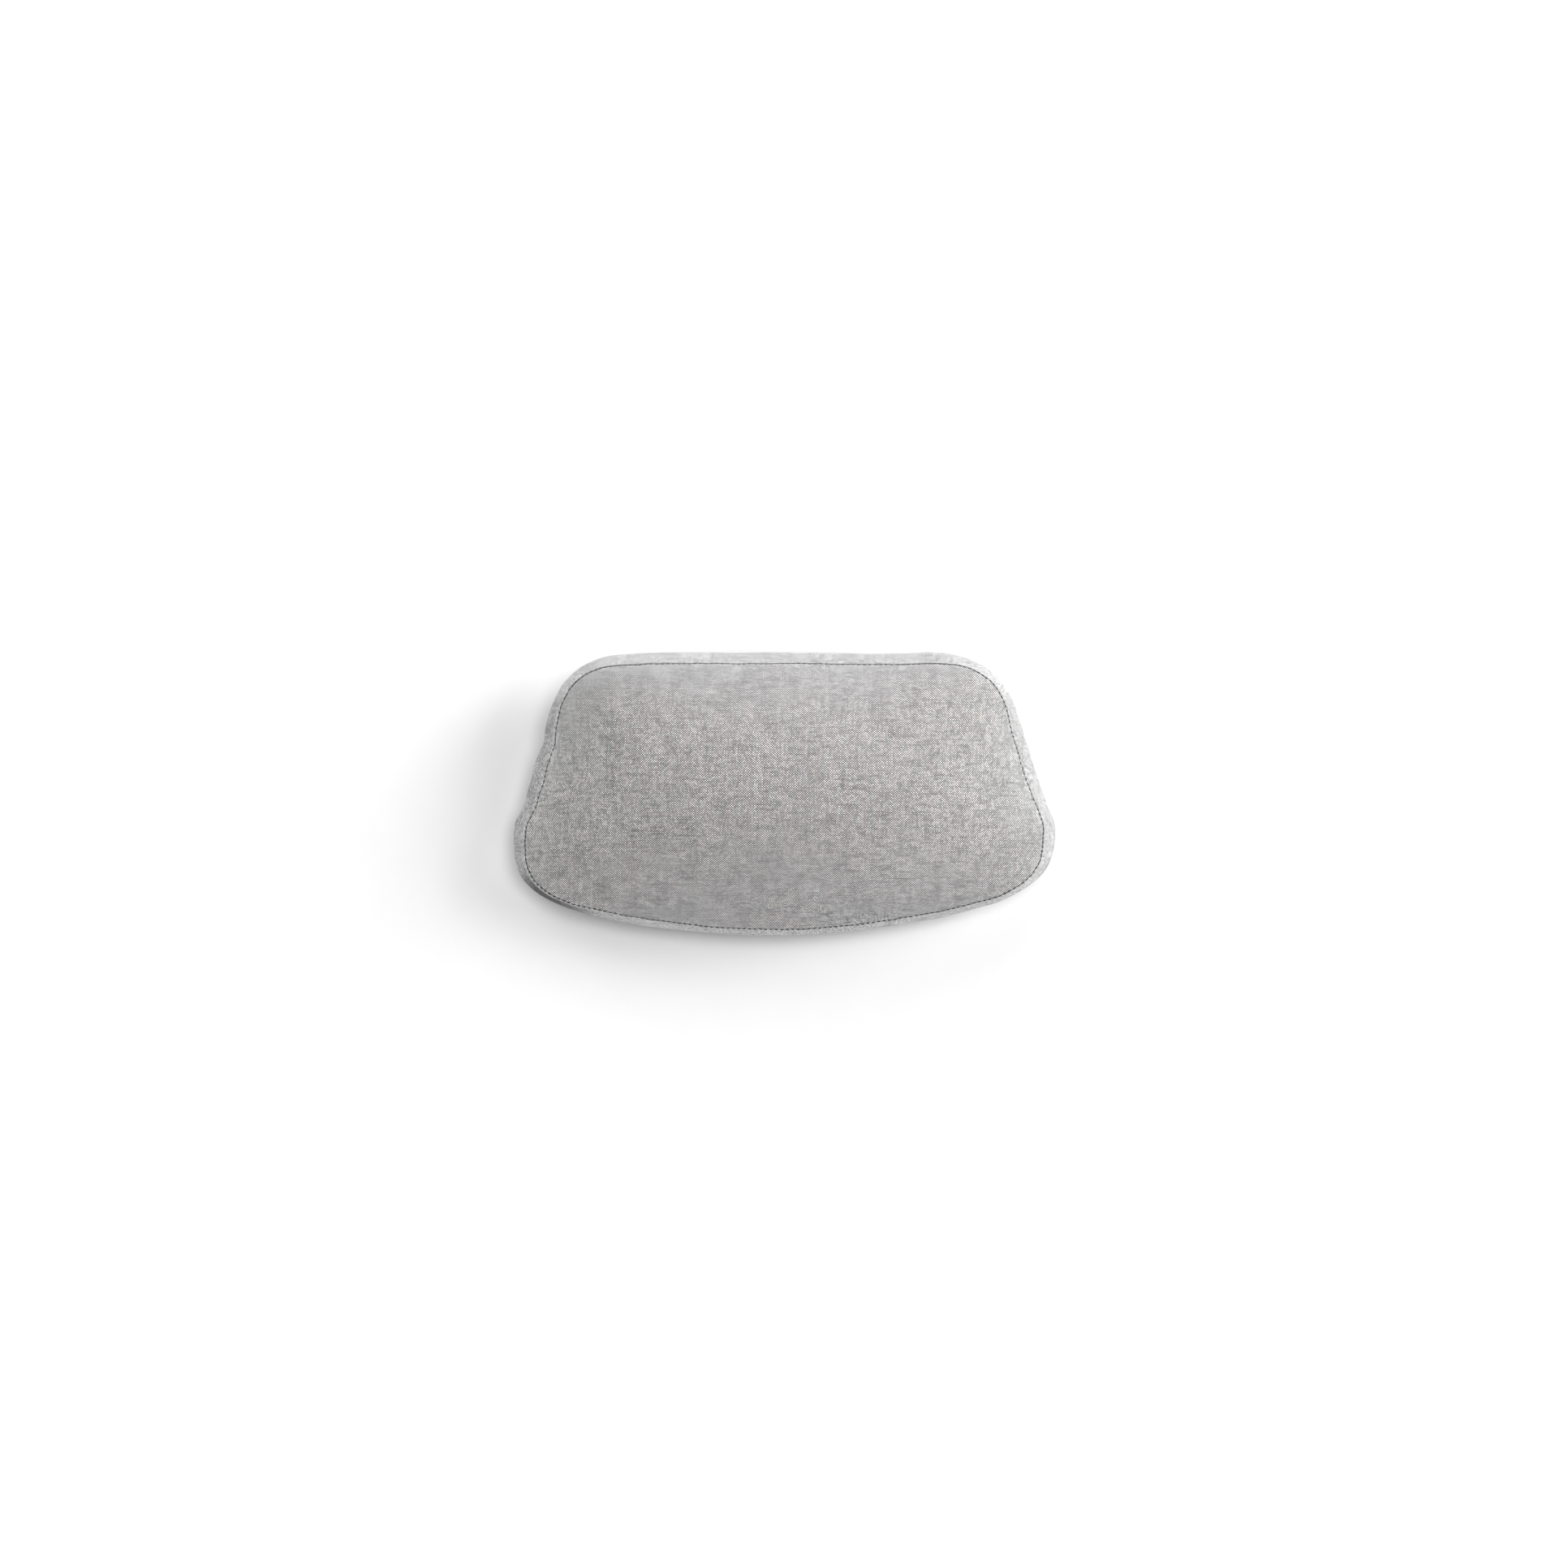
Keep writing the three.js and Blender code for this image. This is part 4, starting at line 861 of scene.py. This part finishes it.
# ---------------------------------------------------------------------------
# stitches
# ---------------------------------------------------------------------------
def capsule_row(name, centres, tangents, normals, length, radius, sink, sides=8, steps=9, flat=0.8):
    """One short thread for each centre: it dives into the cloth at both ends."""
    verts, faces, uvs = [], [], []
    ts = np.linspace(-1, 1, steps)
    for c, t, n in zip(centres, tangents, normals):
        b = np.cross(t, n)
        base = len(verts)
        for r, q in enumerate(ts):
            along = q * length / 2
            down = sink * (abs(q) ** 3)
            rad = radius * math.sqrt(max(0.02, 1 - 0.55 * abs(q) ** 4))
            if r in (0, steps - 1):
                rad *= 0.45
            for s in range(sides):
                a = TAU * s / sides
                verts.append(c + t * along + n * (flat * rad * math.sin(a) - down) + b * (rad * math.cos(a)))
                uvs.append((along * 1.0, s / sides))
        for r in range(steps - 1):
            for s in range(sides):
                p, q = base + r * sides + s, base + r * sides + (s + 1) % sides
                faces.append((p, q, q + sides, p + sides))
        faces.append(tuple(base + s for s in reversed(range(sides))))
        faces.append(tuple(base + (steps - 1) * sides + s for s in range(sides)))
    return make_object(name, np.array(verts) * MM, faces, np.array(uvs))


def unit(a):
    return a / np.linalg.norm(a, axis=-1)[..., None]


def row_frames(path, idx, up):
    t = unit(np.roll(path, -2, 0) - np.roll(path, 2, 0))[idx]
    n = up[idx] - (up[idx] * t).sum(1)[:, None] * t
    return path[idx], t, unit(n)


mid = np.arange(STITCHES) * PER + PER // 2
steep = np.clip((TILT - 0.35) / 0.6, 0, 1)
path = SEAM3 + seam_up * (0.0 + 0.18 * steep)[:, None]
c, t, n = row_frames(path, mid, seam_up)
rng = np.random.default_rng(3)
t = unit(t + np.column_stack([NRM[mid] * (0.06 + 0.05 * rng.standard_normal(STITCHES))[:, None], np.zeros(STITCHES)]))
stitch_top = capsule_row("stitches_upper", c, t, n, 2.2, 0.54, 0.42)
finish_piece(stitch_top, THREAD_MAT, "pad", ["topstitch_upper"])

# ---------------------------------------------------------------------------
# lower cover: lower leaf of the flange, wall and base, cut for the zip
# ---------------------------------------------------------------------------
WI = 2 * FABRIC * SN
WZ = ZS - 2 * FABRIC * CT
STRAIGHT = smooth_ring(np.where((np.abs(S[:, 0]) < 100) & (S[:, 1] > 60), 1.0, 0.0), M / LENGTH * 7)
STRAIGHT = np.clip((STRAIGHT - 0.2) / 0.55, 0, 1)
WOB = ring_noise(M, 18, 31)


def wall_point(phi):
    """Point of the wall at phi, 0 at the flange and 90 at the flat of the base."""
    e, h = 1 - math.cos(math.radians(phi)), math.sin(math.radians(phi))
    lo, hi = 10.0, 55.0
    if lo < phi < hi:
        e0, h0 = 1 - math.cos(math.radians(lo)), math.sin(math.radians(lo))
        e1, h1 = 1 - math.cos(math.radians(hi)), math.sin(math.radians(hi))
        t = (h - h0) / (h1 - h0)
        e = e + (e0 + (e1 - e0) * t - e) * STRAIGHT
    i = WI + (BASE_INSET - WI) * e - 0.7 * (1 - STRAIGHT) * math.sin(math.radians(2 * phi)) * (1 + 0.5 * WOB)
    z = WZ - (WZ - ZB) * h
    nx = NRM + (SOFT - NRM) * min(1, phi / 30)
    return np.column_stack([S - nx * np.reshape(i, (-1, 1)), np.broadcast_to(z, (M,))])


low = []
groove2 = 0.42 + 0.10 * cosp
for back, h in ((0.75, -1.78), (0.35, -1.86), (0.10, -2.1), (0.02, -2.4), (0.12, -2.72), (0.42, -2.98), (0.9, -3.1)):
    low.append(flange_point(FULL + REACH - back, h + flange_shape(1.0)))
for fq in np.linspace(0.8, 0.2, 8):
    low.append(flange_point((FULL + REACH) * fq, -3.14 + 0.6 * flange_shape(float(fq))))
for fd, sink in ((1.1, 0.0), (0.8, 0.25), (0.5, 0.75), (0.25, 1.0)):
    low.append(flange_point(np.full(M, fd), -3.16 + groove2 * sink))
phis = [1.0, 2.0, 3.5, 5, 7, 10, 13, 17, 21, 25, 29, 33, 37, 41, 45, 50, 55, 59, 63, 67, 71, 75, 79, 82, 85, 88, 90]
for phi in phis:
    low.append(wall_point(phi))
bot = wall_point(90)[:, :2]
for qd in (0.97, 0.93, 0.87, 0.78, 0.66, 0.5, 0.33, 0.16):
    low.append(np.column_stack([bot * qd, np.full(M, ZB)]))
m2 = len(low)
v = np.concatenate(low + [np.array([[0, 0, ZB]])])
faces = [tuple(r) for r in ring_faces(m2, M)]
o = (m2 - 1) * M
kk = np.arange(M)
faces += [(m2 * M, b, a) for a, b in zip(o + kk, o + (kk + 1) % M)]
# thread lengths: flat on the base, rolled out along the wall
arcs = np.zeros((m2, M))
for r in range(m2 - 2, -1, -1):
    arcs[r] = arcs[r + 1] + np.linalg.norm(low[r] - low[r + 1], axis=1)
base_row = m2 - 8
uvs = np.zeros((m2, M, 2))
for r in range(m2):
    if r >= base_row:
        uvs[r] = low[r][:, :2]
    else:
        uvs[r] = bot + SOFT * (arcs[r] - arcs[base_row - 1])[:, None]
uv = np.concatenate([uvs.reshape(-1, 2), np.zeros((1, 2))])
ZIP_AT = np.array([0.0, 79.559037, 21.45316])
UP = np.array([0.0, 0.375796, 0.926702])
OUT = np.array([0.0, 0.926702, -0.375796])
ZIP_OPEN, ZIP_GAP = 92.0, 6.0


def cut(bm, plane_no, dist, clear_outer=False, clear_inner=False):
    geom = bm.verts[:] + bm.edges[:] + bm.faces[:]
    no = Vector(plane_no)
    co = Vector(ZIP_AT * MM) + no * (dist * MM)
    return bmesh.ops.bisect_plane(bm, geom=geom, dist=1e-7, plane_co=co, plane_no=no, clear_outer=clear_outer, clear_inner=clear_inner)


lower_full = make_object("lower_full", v * MM, faces, uv)


def lower_piece(name, keep_above):
    bm = bmesh.new()
    bm.from_mesh(lower_full.data)
    bmesh.ops.recalc_face_normals(bm, faces=bm.faces)
    if keep_above:
        cut(bm, UP, 0.12, clear_inner=True)
        edge = ZIP_GAP
    else:
        cut(bm, UP, -0.12, clear_outer=True)
        edge = -ZIP_GAP
    cut(bm, UP, edge)
    for d in (1, -1):
        cut(bm, (1, 0, 0), d * ZIP_OPEN)
    gone = []
    for fc in bm.faces:
        c = np.array(fc.calc_center_median()) / MM - ZIP_AT
        s = float(c @ UP)
        if abs(c[0]) < ZIP_OPEN and abs(s) < ZIP_GAP and abs(float(c @ OUT)) < 12:
            gone.append(fc)
    bmesh.ops.delete(bm, geom=gone, context="FACES")
    # a loop over the cut edge's points, which moves nothing
    for vt in bm.verts:
        if not vt.is_boundary:
            continue
    me = bpy.data.meshes.new(name)
    bm.to_mesh(me)
    bm.free()
    ob = bpy.data.objects.new(name, me)
    bpy.context.scene.collection.objects.link(ob)
    s = ob.modifiers.new("thick", "SOLIDIFY")
    s.thickness = 0.0013
    s.offset = -1.0
    s.use_rim = True
    apply_all(ob)
    ob.data.polygons.foreach_set("use_smooth", np.ones(len(ob.data.polygons), bool))
    return ob


cover_zip = lower_piece("cover_zip_panel", True)
finish_piece(cover_zip, FABRIC_MAT, "pad", ["zip_panel"])
cover_base = lower_piece("cover_base", False)
finish_piece(cover_base, FABRIC_MAT, "pad", ["base_panel"])
bpy.data.objects.remove(lower_full)

# lower row of stitches, in the crease under the flange
half = (math.pi / 2 - TILT) / 2
dist = 0.30 / np.sin(half)
hx = 1 - SN
ln = np.hypot(hx, CT)
path2 = np.column_stack([S - NRM * (WI - dist * hx / ln)[:, None], WZ - dist * CT / ln])
n2 = -np.column_stack([-NRM * (hx / ln)[:, None], CT / ln])
c, t, n = row_frames(path2, mid, n2)
stitch_low = capsule_row("stitches_lower", c, t, n, 2.7, 0.27, 0.3)
finish_piece(stitch_low, THREAD_MAT, "pad", ["topstitch_lower"])


# ---------------------------------------------------------------------------
# zip
# ---------------------------------------------------------------------------
def in_wall(p):
    p = np.asarray(p, float)
    return np.outer(p[:, 0], [1, 0, 0]) + np.outer(p[:, 1], UP) + np.outer(p[:, 2], OUT) + ZIP_AT


def tube(name, path, radius, sides=6, mat=None):
    path = np.asarray(path, float)
    t = unit(np.gradient(path, axis=0))
    ref = np.cross(t, np.array([0.31, 0.52, 0.79]))
    a = unit(ref)
    b = np.cross(t, a)
    verts, uvs = [], []
    s = np.r_[0, np.cumsum(np.linalg.norm(np.diff(path, axis=0), axis=1))]
    for k in range(sides):
        q = TAU * k / sides
        verts.append(path + radius * (math.cos(q) * a + math.sin(q) * b))
        uvs.append(np.column_stack([s, np.full(len(s), k / sides)]))
    n = len(path)
    v = np.stack(verts, 1).reshape(-1, 3)
    uv = np.stack(uvs, 1).reshape(-1, 2)
    faces = []
    for i in range(n - 1):
        for k in range(sides):
            p, q = i * sides + k, i * sides + (k + 1) % sides
            faces.append((p, q, q + sides, p + sides))
    faces.append(tuple(reversed(range(sides))))
    faces.append(tuple((n - 1) * sides + k for k in range(sides)))
    return make_object(name, v * MM, faces, uv)


COIL_X0, COIL_X1, PITCH = -86.0, 84.0, 1.45
turns = int((COIL_X1 - COIL_X0 - 0.8) / PITCH)
for side, name in ((1, "upper"), (-1, "lower")):
    q = np.arange(turns * 14 + 1) / 14
    a = TAU * q
    shift = 0.0 if side > 0 else PITCH / 2
    # each loop is a flat oval whose nose stops short of the slot that the slider's divider runs in
    s_mid, s_half = 1.64, 0.82
    s = side * (s_mid - s_half * np.cos(a))
    n = -2.1 + 0.82 * np.sin(a)
    x = COIL_X0 + 0.4 + shift * 0.9 + PITCH * (q - 0.10 * np.sin(a))
    ob = tube("zip_filament_" + name, in_wall(np.column_stack([x, s, n])), 0.30, 6)
    finish_piece(ob, NYLON_MAT, "pad", ["zip_coil_" + name])

for side, name in ((1, "upper"), (-1, "lower")):
    xs = np.arange(-ZIP_OPEN + 0.5, ZIP_OPEN - 0.5, 2.6)
    c = in_wall(np.column_stack([xs + 1.3, np.full(len(xs), side * 8.5), np.full(len(xs), 0.10)]))
    t = np.tile([1.0, 0, 0], (len(xs), 1))
    n = np.tile(OUT, (len(xs), 1))
    ob = capsule_row("zip_thread_" + name, c, t, n, 2.1, 0.22, 0.32)
    finish_piece(ob, THREAD_MAT, "pad", ["zip_stitch_" + name])

for node, mat in (
    ("zip_tape_upper", TAPE_MAT), ("zip_tape_lower", TAPE_MAT), ("zip_top_stop_upper", METAL_MAT), ("zip_top_stop_lower", METAL_MAT),
    ("zip_bottom_stop", METAL_MAT), ("zip_slider", METAL_MAT), ("zip_pull", METAL_MAT), ("base_stiffener", BOARD_MAT),
):
    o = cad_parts[node]
    o.data.materials.clear()
    o.data.materials.append(mat)
for node, w in (("zip_slider", 0.00022), ("zip_pull", 0.00025), ("zip_top_stop_upper", 0.0004), ("zip_top_stop_lower", 0.0004),
                ("zip_bottom_stop", 0.0004), ("base_stiffener", 0.0005)):
    bevel(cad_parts[node], w, 3 if node.startswith("zip_p") else 2)

# ---------------------------------------------------------------------------
# hook strips
# ---------------------------------------------------------------------------
HOOK_L, HOOK_W, HOOK_Y, SELV = 190.0, 25.0, 31.0, 2.5


def hook_strip(name, y0):
    bm = bmesh.new()
    l, w = HOOK_L / 2, HOOK_W / 2
    z1, z0 = ZB - 0.1, ZB - 0.1 - 0.75

    def slab(x0, x1, ya, yb, za, zb):
        vs = [bm.verts.new((x * MM, (y0 + y) * MM, z * MM)) for x, y, z in
              ((x0, ya, za), (x1, ya, za), (x1, yb, za), (x0, yb, za), (x0, ya, zb), (x1, ya, zb), (x1, yb, zb), (x0, yb, zb))]
        for q in ((3, 2, 1, 0), (4, 5, 6, 7), (0, 1, 5, 4), (1, 2, 6, 5), (2, 3, 7, 6), (3, 0, 4, 7)):
            bm.faces.new([vs[k] for k in q])

    slab(-l, l, -w, w, z0, z1)
    bmesh.ops.bevel(bm, geom=bm.edges[:], offset=0.00018, segments=2, affect="EDGES")
    # rows of small moulded hooks, curling over to alternate sides
    prof = [(0.0, 0.05), (0.0, -0.45), (0.07, -0.78), (0.24, -0.98), (0.46, -0.93), (0.54, -0.74)]
    half_w = [0.20, 0.17, 0.15, 0.14, 0.12, 0.09]
    thick = [0.20, 0.16, 0.14, 0.13, 0.11, 0.08]
    rows_y = np.arange(-w + SELV + 0.7, w - SELV - 0.4, 1.55)
    cols_x = np.arange(-l + SELV + 0.8, l - SELV - 0.4, 1.5)
    for r, yy in enumerate(rows_y):
        d = 1 if r % 2 else -1
        for cx in cols_x + (0.0 if r % 2 else 0.5):
            prev = None
            for k, ((px, pz), hw, th) in enumerate(zip(prof, half_w, thick)):
                z = z0 + pz if k else z0 + 0.05
                x = cx + d * px
                ring = [bm.verts.new(((x + sx * th) * MM, (y0 + yy + sy * hw) * MM, (z) * MM)) for sx, sy in ((-1, -1), (1, -1), (1, 1), (-1, 1))]
                if prev:
                    for a in range(4):
                        b = (a + 1) % 4
                        bm.faces.new((prev[a], prev[b], ring[b], ring[a]))
                else:
                    bm.faces.new(ring)
                prev = ring
            bm.faces.new(list(reversed(prev)))
    bmesh.ops.recalc_face_normals(bm, faces=bm.faces)
    me = bpy.data.meshes.new(name)
    bm.to_mesh(me)
    bm.free()
    ob = bpy.data.objects.new(name, me)
    bpy.context.scene.collection.objects.link(ob)
    return ob


for tag, yy in (("front", -HOOK_Y), ("rear", HOOK_Y)):
    ob = hook_strip("hooks_" + tag, yy)
    finish_piece(ob, HOOK_MAT, "pad", ["hook_strip_" + tag])
    l, w = HOOK_L / 2 - 1.2, HOOK_W / 2 - 1.2
    cs, ts = [], []
    for ya in (-w, w):
        for x in np.arange(-l + 1.3, l - 1.0, 2.7):
            cs.append((x, yy + ya, 1.12))
            ts.append((1.0, 0, 0))
    for xa in (-l, l):
        for y in np.arange(-w + 1.4, w - 1.0, 2.7):
            cs.append((xa, yy + y, 1.12))
            ts.append((0, 1.0, 0))
    ob = capsule_row("hook_thread_" + tag, np.array(cs), np.array(ts), np.tile([0, 0, -1.0], (len(cs), 1)), 2.2, 0.2, 0.3, sides=6, steps=7)
    finish_piece(ob, THREAD_MAT, "pad", ["hook_stitch_" + tag])

# ---------------------------------------------------------------------------
# filling
# ---------------------------------------------------------------------------
K = slice(0, M, 6)
MK = len(range(0, M, 6))


def layer_corner(d, lower=0.0):
    i = WI + d
    p = S - SOFT * i[:, None]
    return p, dome(p[:, 0], p[:, 1]) - d * slope_factor(p[:, 0], p[:, 1]) - lower, i


def layer_crown(d, qs, seed, amp):
    out = []
    for q in qs:
        p = S * q
        z = dome(p[:, 0], p[:, 1]) - d * slope_factor(p[:, 0], p[:, 1])
        n = ring_noise(M, 30, seed + int(q * 100))
        out.append(np.column_stack([p, z - amp * (0.5 + 0.5 * n)])[K])
    return out


def layer_wall(d, base, phis, lower=0.0, seed=0, amp=0.0):
    p0, z0, i0 = layer_corner(d, lower)
    out = []
    for phi in phis:
        e, h = 1 - math.cos(math.radians(phi)), math.sin(math.radians(phi))
        i = i0 + (BASE_INSET + 0.3 * d - i0) * e
        if 10 < phi < 55:
            e0, h0 = 1 - math.cos(math.radians(10)), math.sin(math.radians(10))
            e1, h1 = 1 - math.cos(math.radians(55)), math.sin(math.radians(55))
            t = (h - h0) / (h1 - h0)
            i = i + (BASE_INSET + 0.3 * d - i0) * (e0 + (e1 - e0) * t - e) * STRAIGHT
        z = z0 - (z0 - base) * h
        out.append(np.column_stack([S - SOFT * (i + amp)[:, None], z])[K])
    return out


def closed(name, rows, first, last):
    v = np.concatenate(list(rows) + [np.array([first]), np.array([last])])
    n = len(rows)
    faces = [tuple(r) for r in ring_faces(n, MK)]
    k = np.arange(MK)
    q = (k + 1) % MK
    faces += [(n * MK, a, b) for a, b in zip(k, q)]
    o = (n - 1) * MK
    faces += [(n * MK + 1, b, a) for a, b in zip(o + k, o + q)]
    ob = make_object(name, v * MM, faces)
    bm = bmesh.new()
    bm.from_mesh(ob.data)
    bmesh.ops.recalc_face_normals(bm, faces=bm.faces)
    bm.to_mesh(ob.data)
    bm.free()
    return ob


QS = [0.93, 0.88, 0.8, 0.7, 0.58, 0.45, 0.3, 0.15]
WALL = [0, 5, 10, 17, 25, 33, 41, 48, 55, 62, 69, 76, 83, 90]
D1, D2, D3 = 1.9, 6.9, 7.4
B1 = 6.7 + 0.3


def flat_rows(d, base, wall):
    p = wall[-1][:, :2]
    return [np.column_stack([p * q, np.full(len(p), base)]) for q in (0.9, 0.7, 0.45, 0.2)]


pc, zc, _ = layer_corner(D1)
outer = [np.column_stack([pc, zc])[K]] + layer_crown(D1 + 0.1, QS, 40, 0.5)
pd, zd, _ = layer_corner(D2)
inner_rows = list(reversed(layer_crown(D2, QS[2:], 60, -0.2))) + [np.column_stack([pd, zd])[K]]
ob = closed("wadding_crown", inner_rows + outer, (0, 0, HEIGHT - D2), (0, 0, HEIGHT - D1 - 0.3))
finish_piece(ob, WADDING_MAT, "pad", ["wadding_top"])

wo = layer_wall(D1 + 0.9, B1, WALL, 0.4)
wi = layer_wall(D2, B1 + 5, WALL, 0.4)
ob = closed("wadding_under", list(reversed(flat_rows(D2, B1 + 5, wi))) + list(reversed(wi)) + wo + flat_rows(D1, B1, wo), (0, 0, B1 + 5), (0, 0, B1))
bm = bmesh.new()
bm.from_mesh(ob.data)
for vt in bm.verts:  # channel behind the zip, pressed into the fibre
    c = np.array(vt.co) / MM - ZIP_AT
    s, nn = float(c @ UP), float(c @ OUT)
    if abs(c[0]) < 94 and abs(s) < 8 and -5 < nn < 2:
        k = (-5.5 - nn) * float(smoothstep(np.array((8 - abs(s)) / 3.0)) * smoothstep(np.array((94 - abs(c[0])) / 3.0)))
        vt.co += Vector(OUT * k * MM)
bm.to_mesh(ob.data)
bm.free()
finish_piece(ob, WADDING_MAT, "pad", ["wadding_base"])

fw = layer_wall(D3, B1 + 5.5, WALL, 0.0)
rows3 = list(reversed(layer_crown(D3, QS[2:], 80, 0.15))) + fw + flat_rows(D3, B1 + 5.5, fw)
ob = closed("foam_block", rows3, (0, 0, HEIGHT - D3), (0, 0, B1 + 5.5))
finish_piece(ob, FOAM_MAT, "pad", ["foam_core"])

# ---------------------------------------------------------------------------
# stage
# ---------------------------------------------------------------------------
me = bpy.data.meshes.new("floor")
r = 6.0
me.from_pydata([(-r, -r, 0), (r, -r, 0), (r, r, 0), (-r, r, 0)], [], [(0, 1, 2, 3)])
floor = bpy.data.objects.new("floor", me)
bpy.context.scene.collection.objects.link(floor)
g = Nodes("floor_white")
n = g.noise(g.coords(), 40.0, 3.0)
g.set(Base_Color=g.grey(g.remap(n, 0.3, 0.7, 0.895, 0.905)), Roughness=0.95)
g.bsdf.inputs["Specular IOR Level"].default_value = 0.0
floor.data.materials.append(g.mat)

sc = bpy.context.scene
world = bpy.data.worlds.new("studio")
sc.world = world
world.use_nodes = True
bg = world.node_tree.nodes["Background"]
bg.inputs[0].default_value = (1, 1, 1, 1)
bg.inputs[1].default_value = 0.02


def soft_light(name, elevation, azimuth, spread, watts, distance=6.0):
    """Round soft box aimed at the pad; spread is the angle it fills, in degrees."""
    light = bpy.data.lights.new(name, "AREA")
    light.shape = "DISK"
    light.size = 2 * distance * math.tan(math.radians(spread / 2))
    light.energy = watts
    ob = bpy.data.objects.new(name, light)
    el, az = math.radians(elevation), math.radians(azimuth)
    pos = Vector((math.cos(el) * math.cos(az), math.cos(el) * math.sin(az), math.sin(el))) * distance
    ob.location = pos
    ob.rotation_euler = (-pos).to_track_quat("-Z", "Y").to_euler()
    sc.collection.objects.link(ob)
    return ob


soft_light("key", 18, 22, 30, 260)
soft_light("key_high", 26, 12, 30, 180)
soft_light("rear", 18, 80, 30, 75)
soft_light("rear_left", 20, 120, 40, 173)
soft_light("left", 20, 210, 40, 157)
soft_light("front", 20, 255, 40, 50)
soft_light("front_right", 20, 305, 40, 55)
soft_light("overhead", 75, 40, 30, 147)

cam = bpy.data.cameras.new("camera")
cam.lens = 100
cam.sensor_width = 36
cam.clip_end = 20
camera = bpy.data.objects.new("camera", cam)
camera.location = (-0.00013, 0.00674, 0.032 + 1.0427 / 0.36)
camera.rotation_euler = (0, 0, 0)
sc.collection.objects.link(camera)
sc.camera = camera
sc.view_settings.view_transform = "Standard"
sc.view_settings.look = "None"
sc.view_settings.exposure = 0.0
sc.view_settings.gamma = 1.0
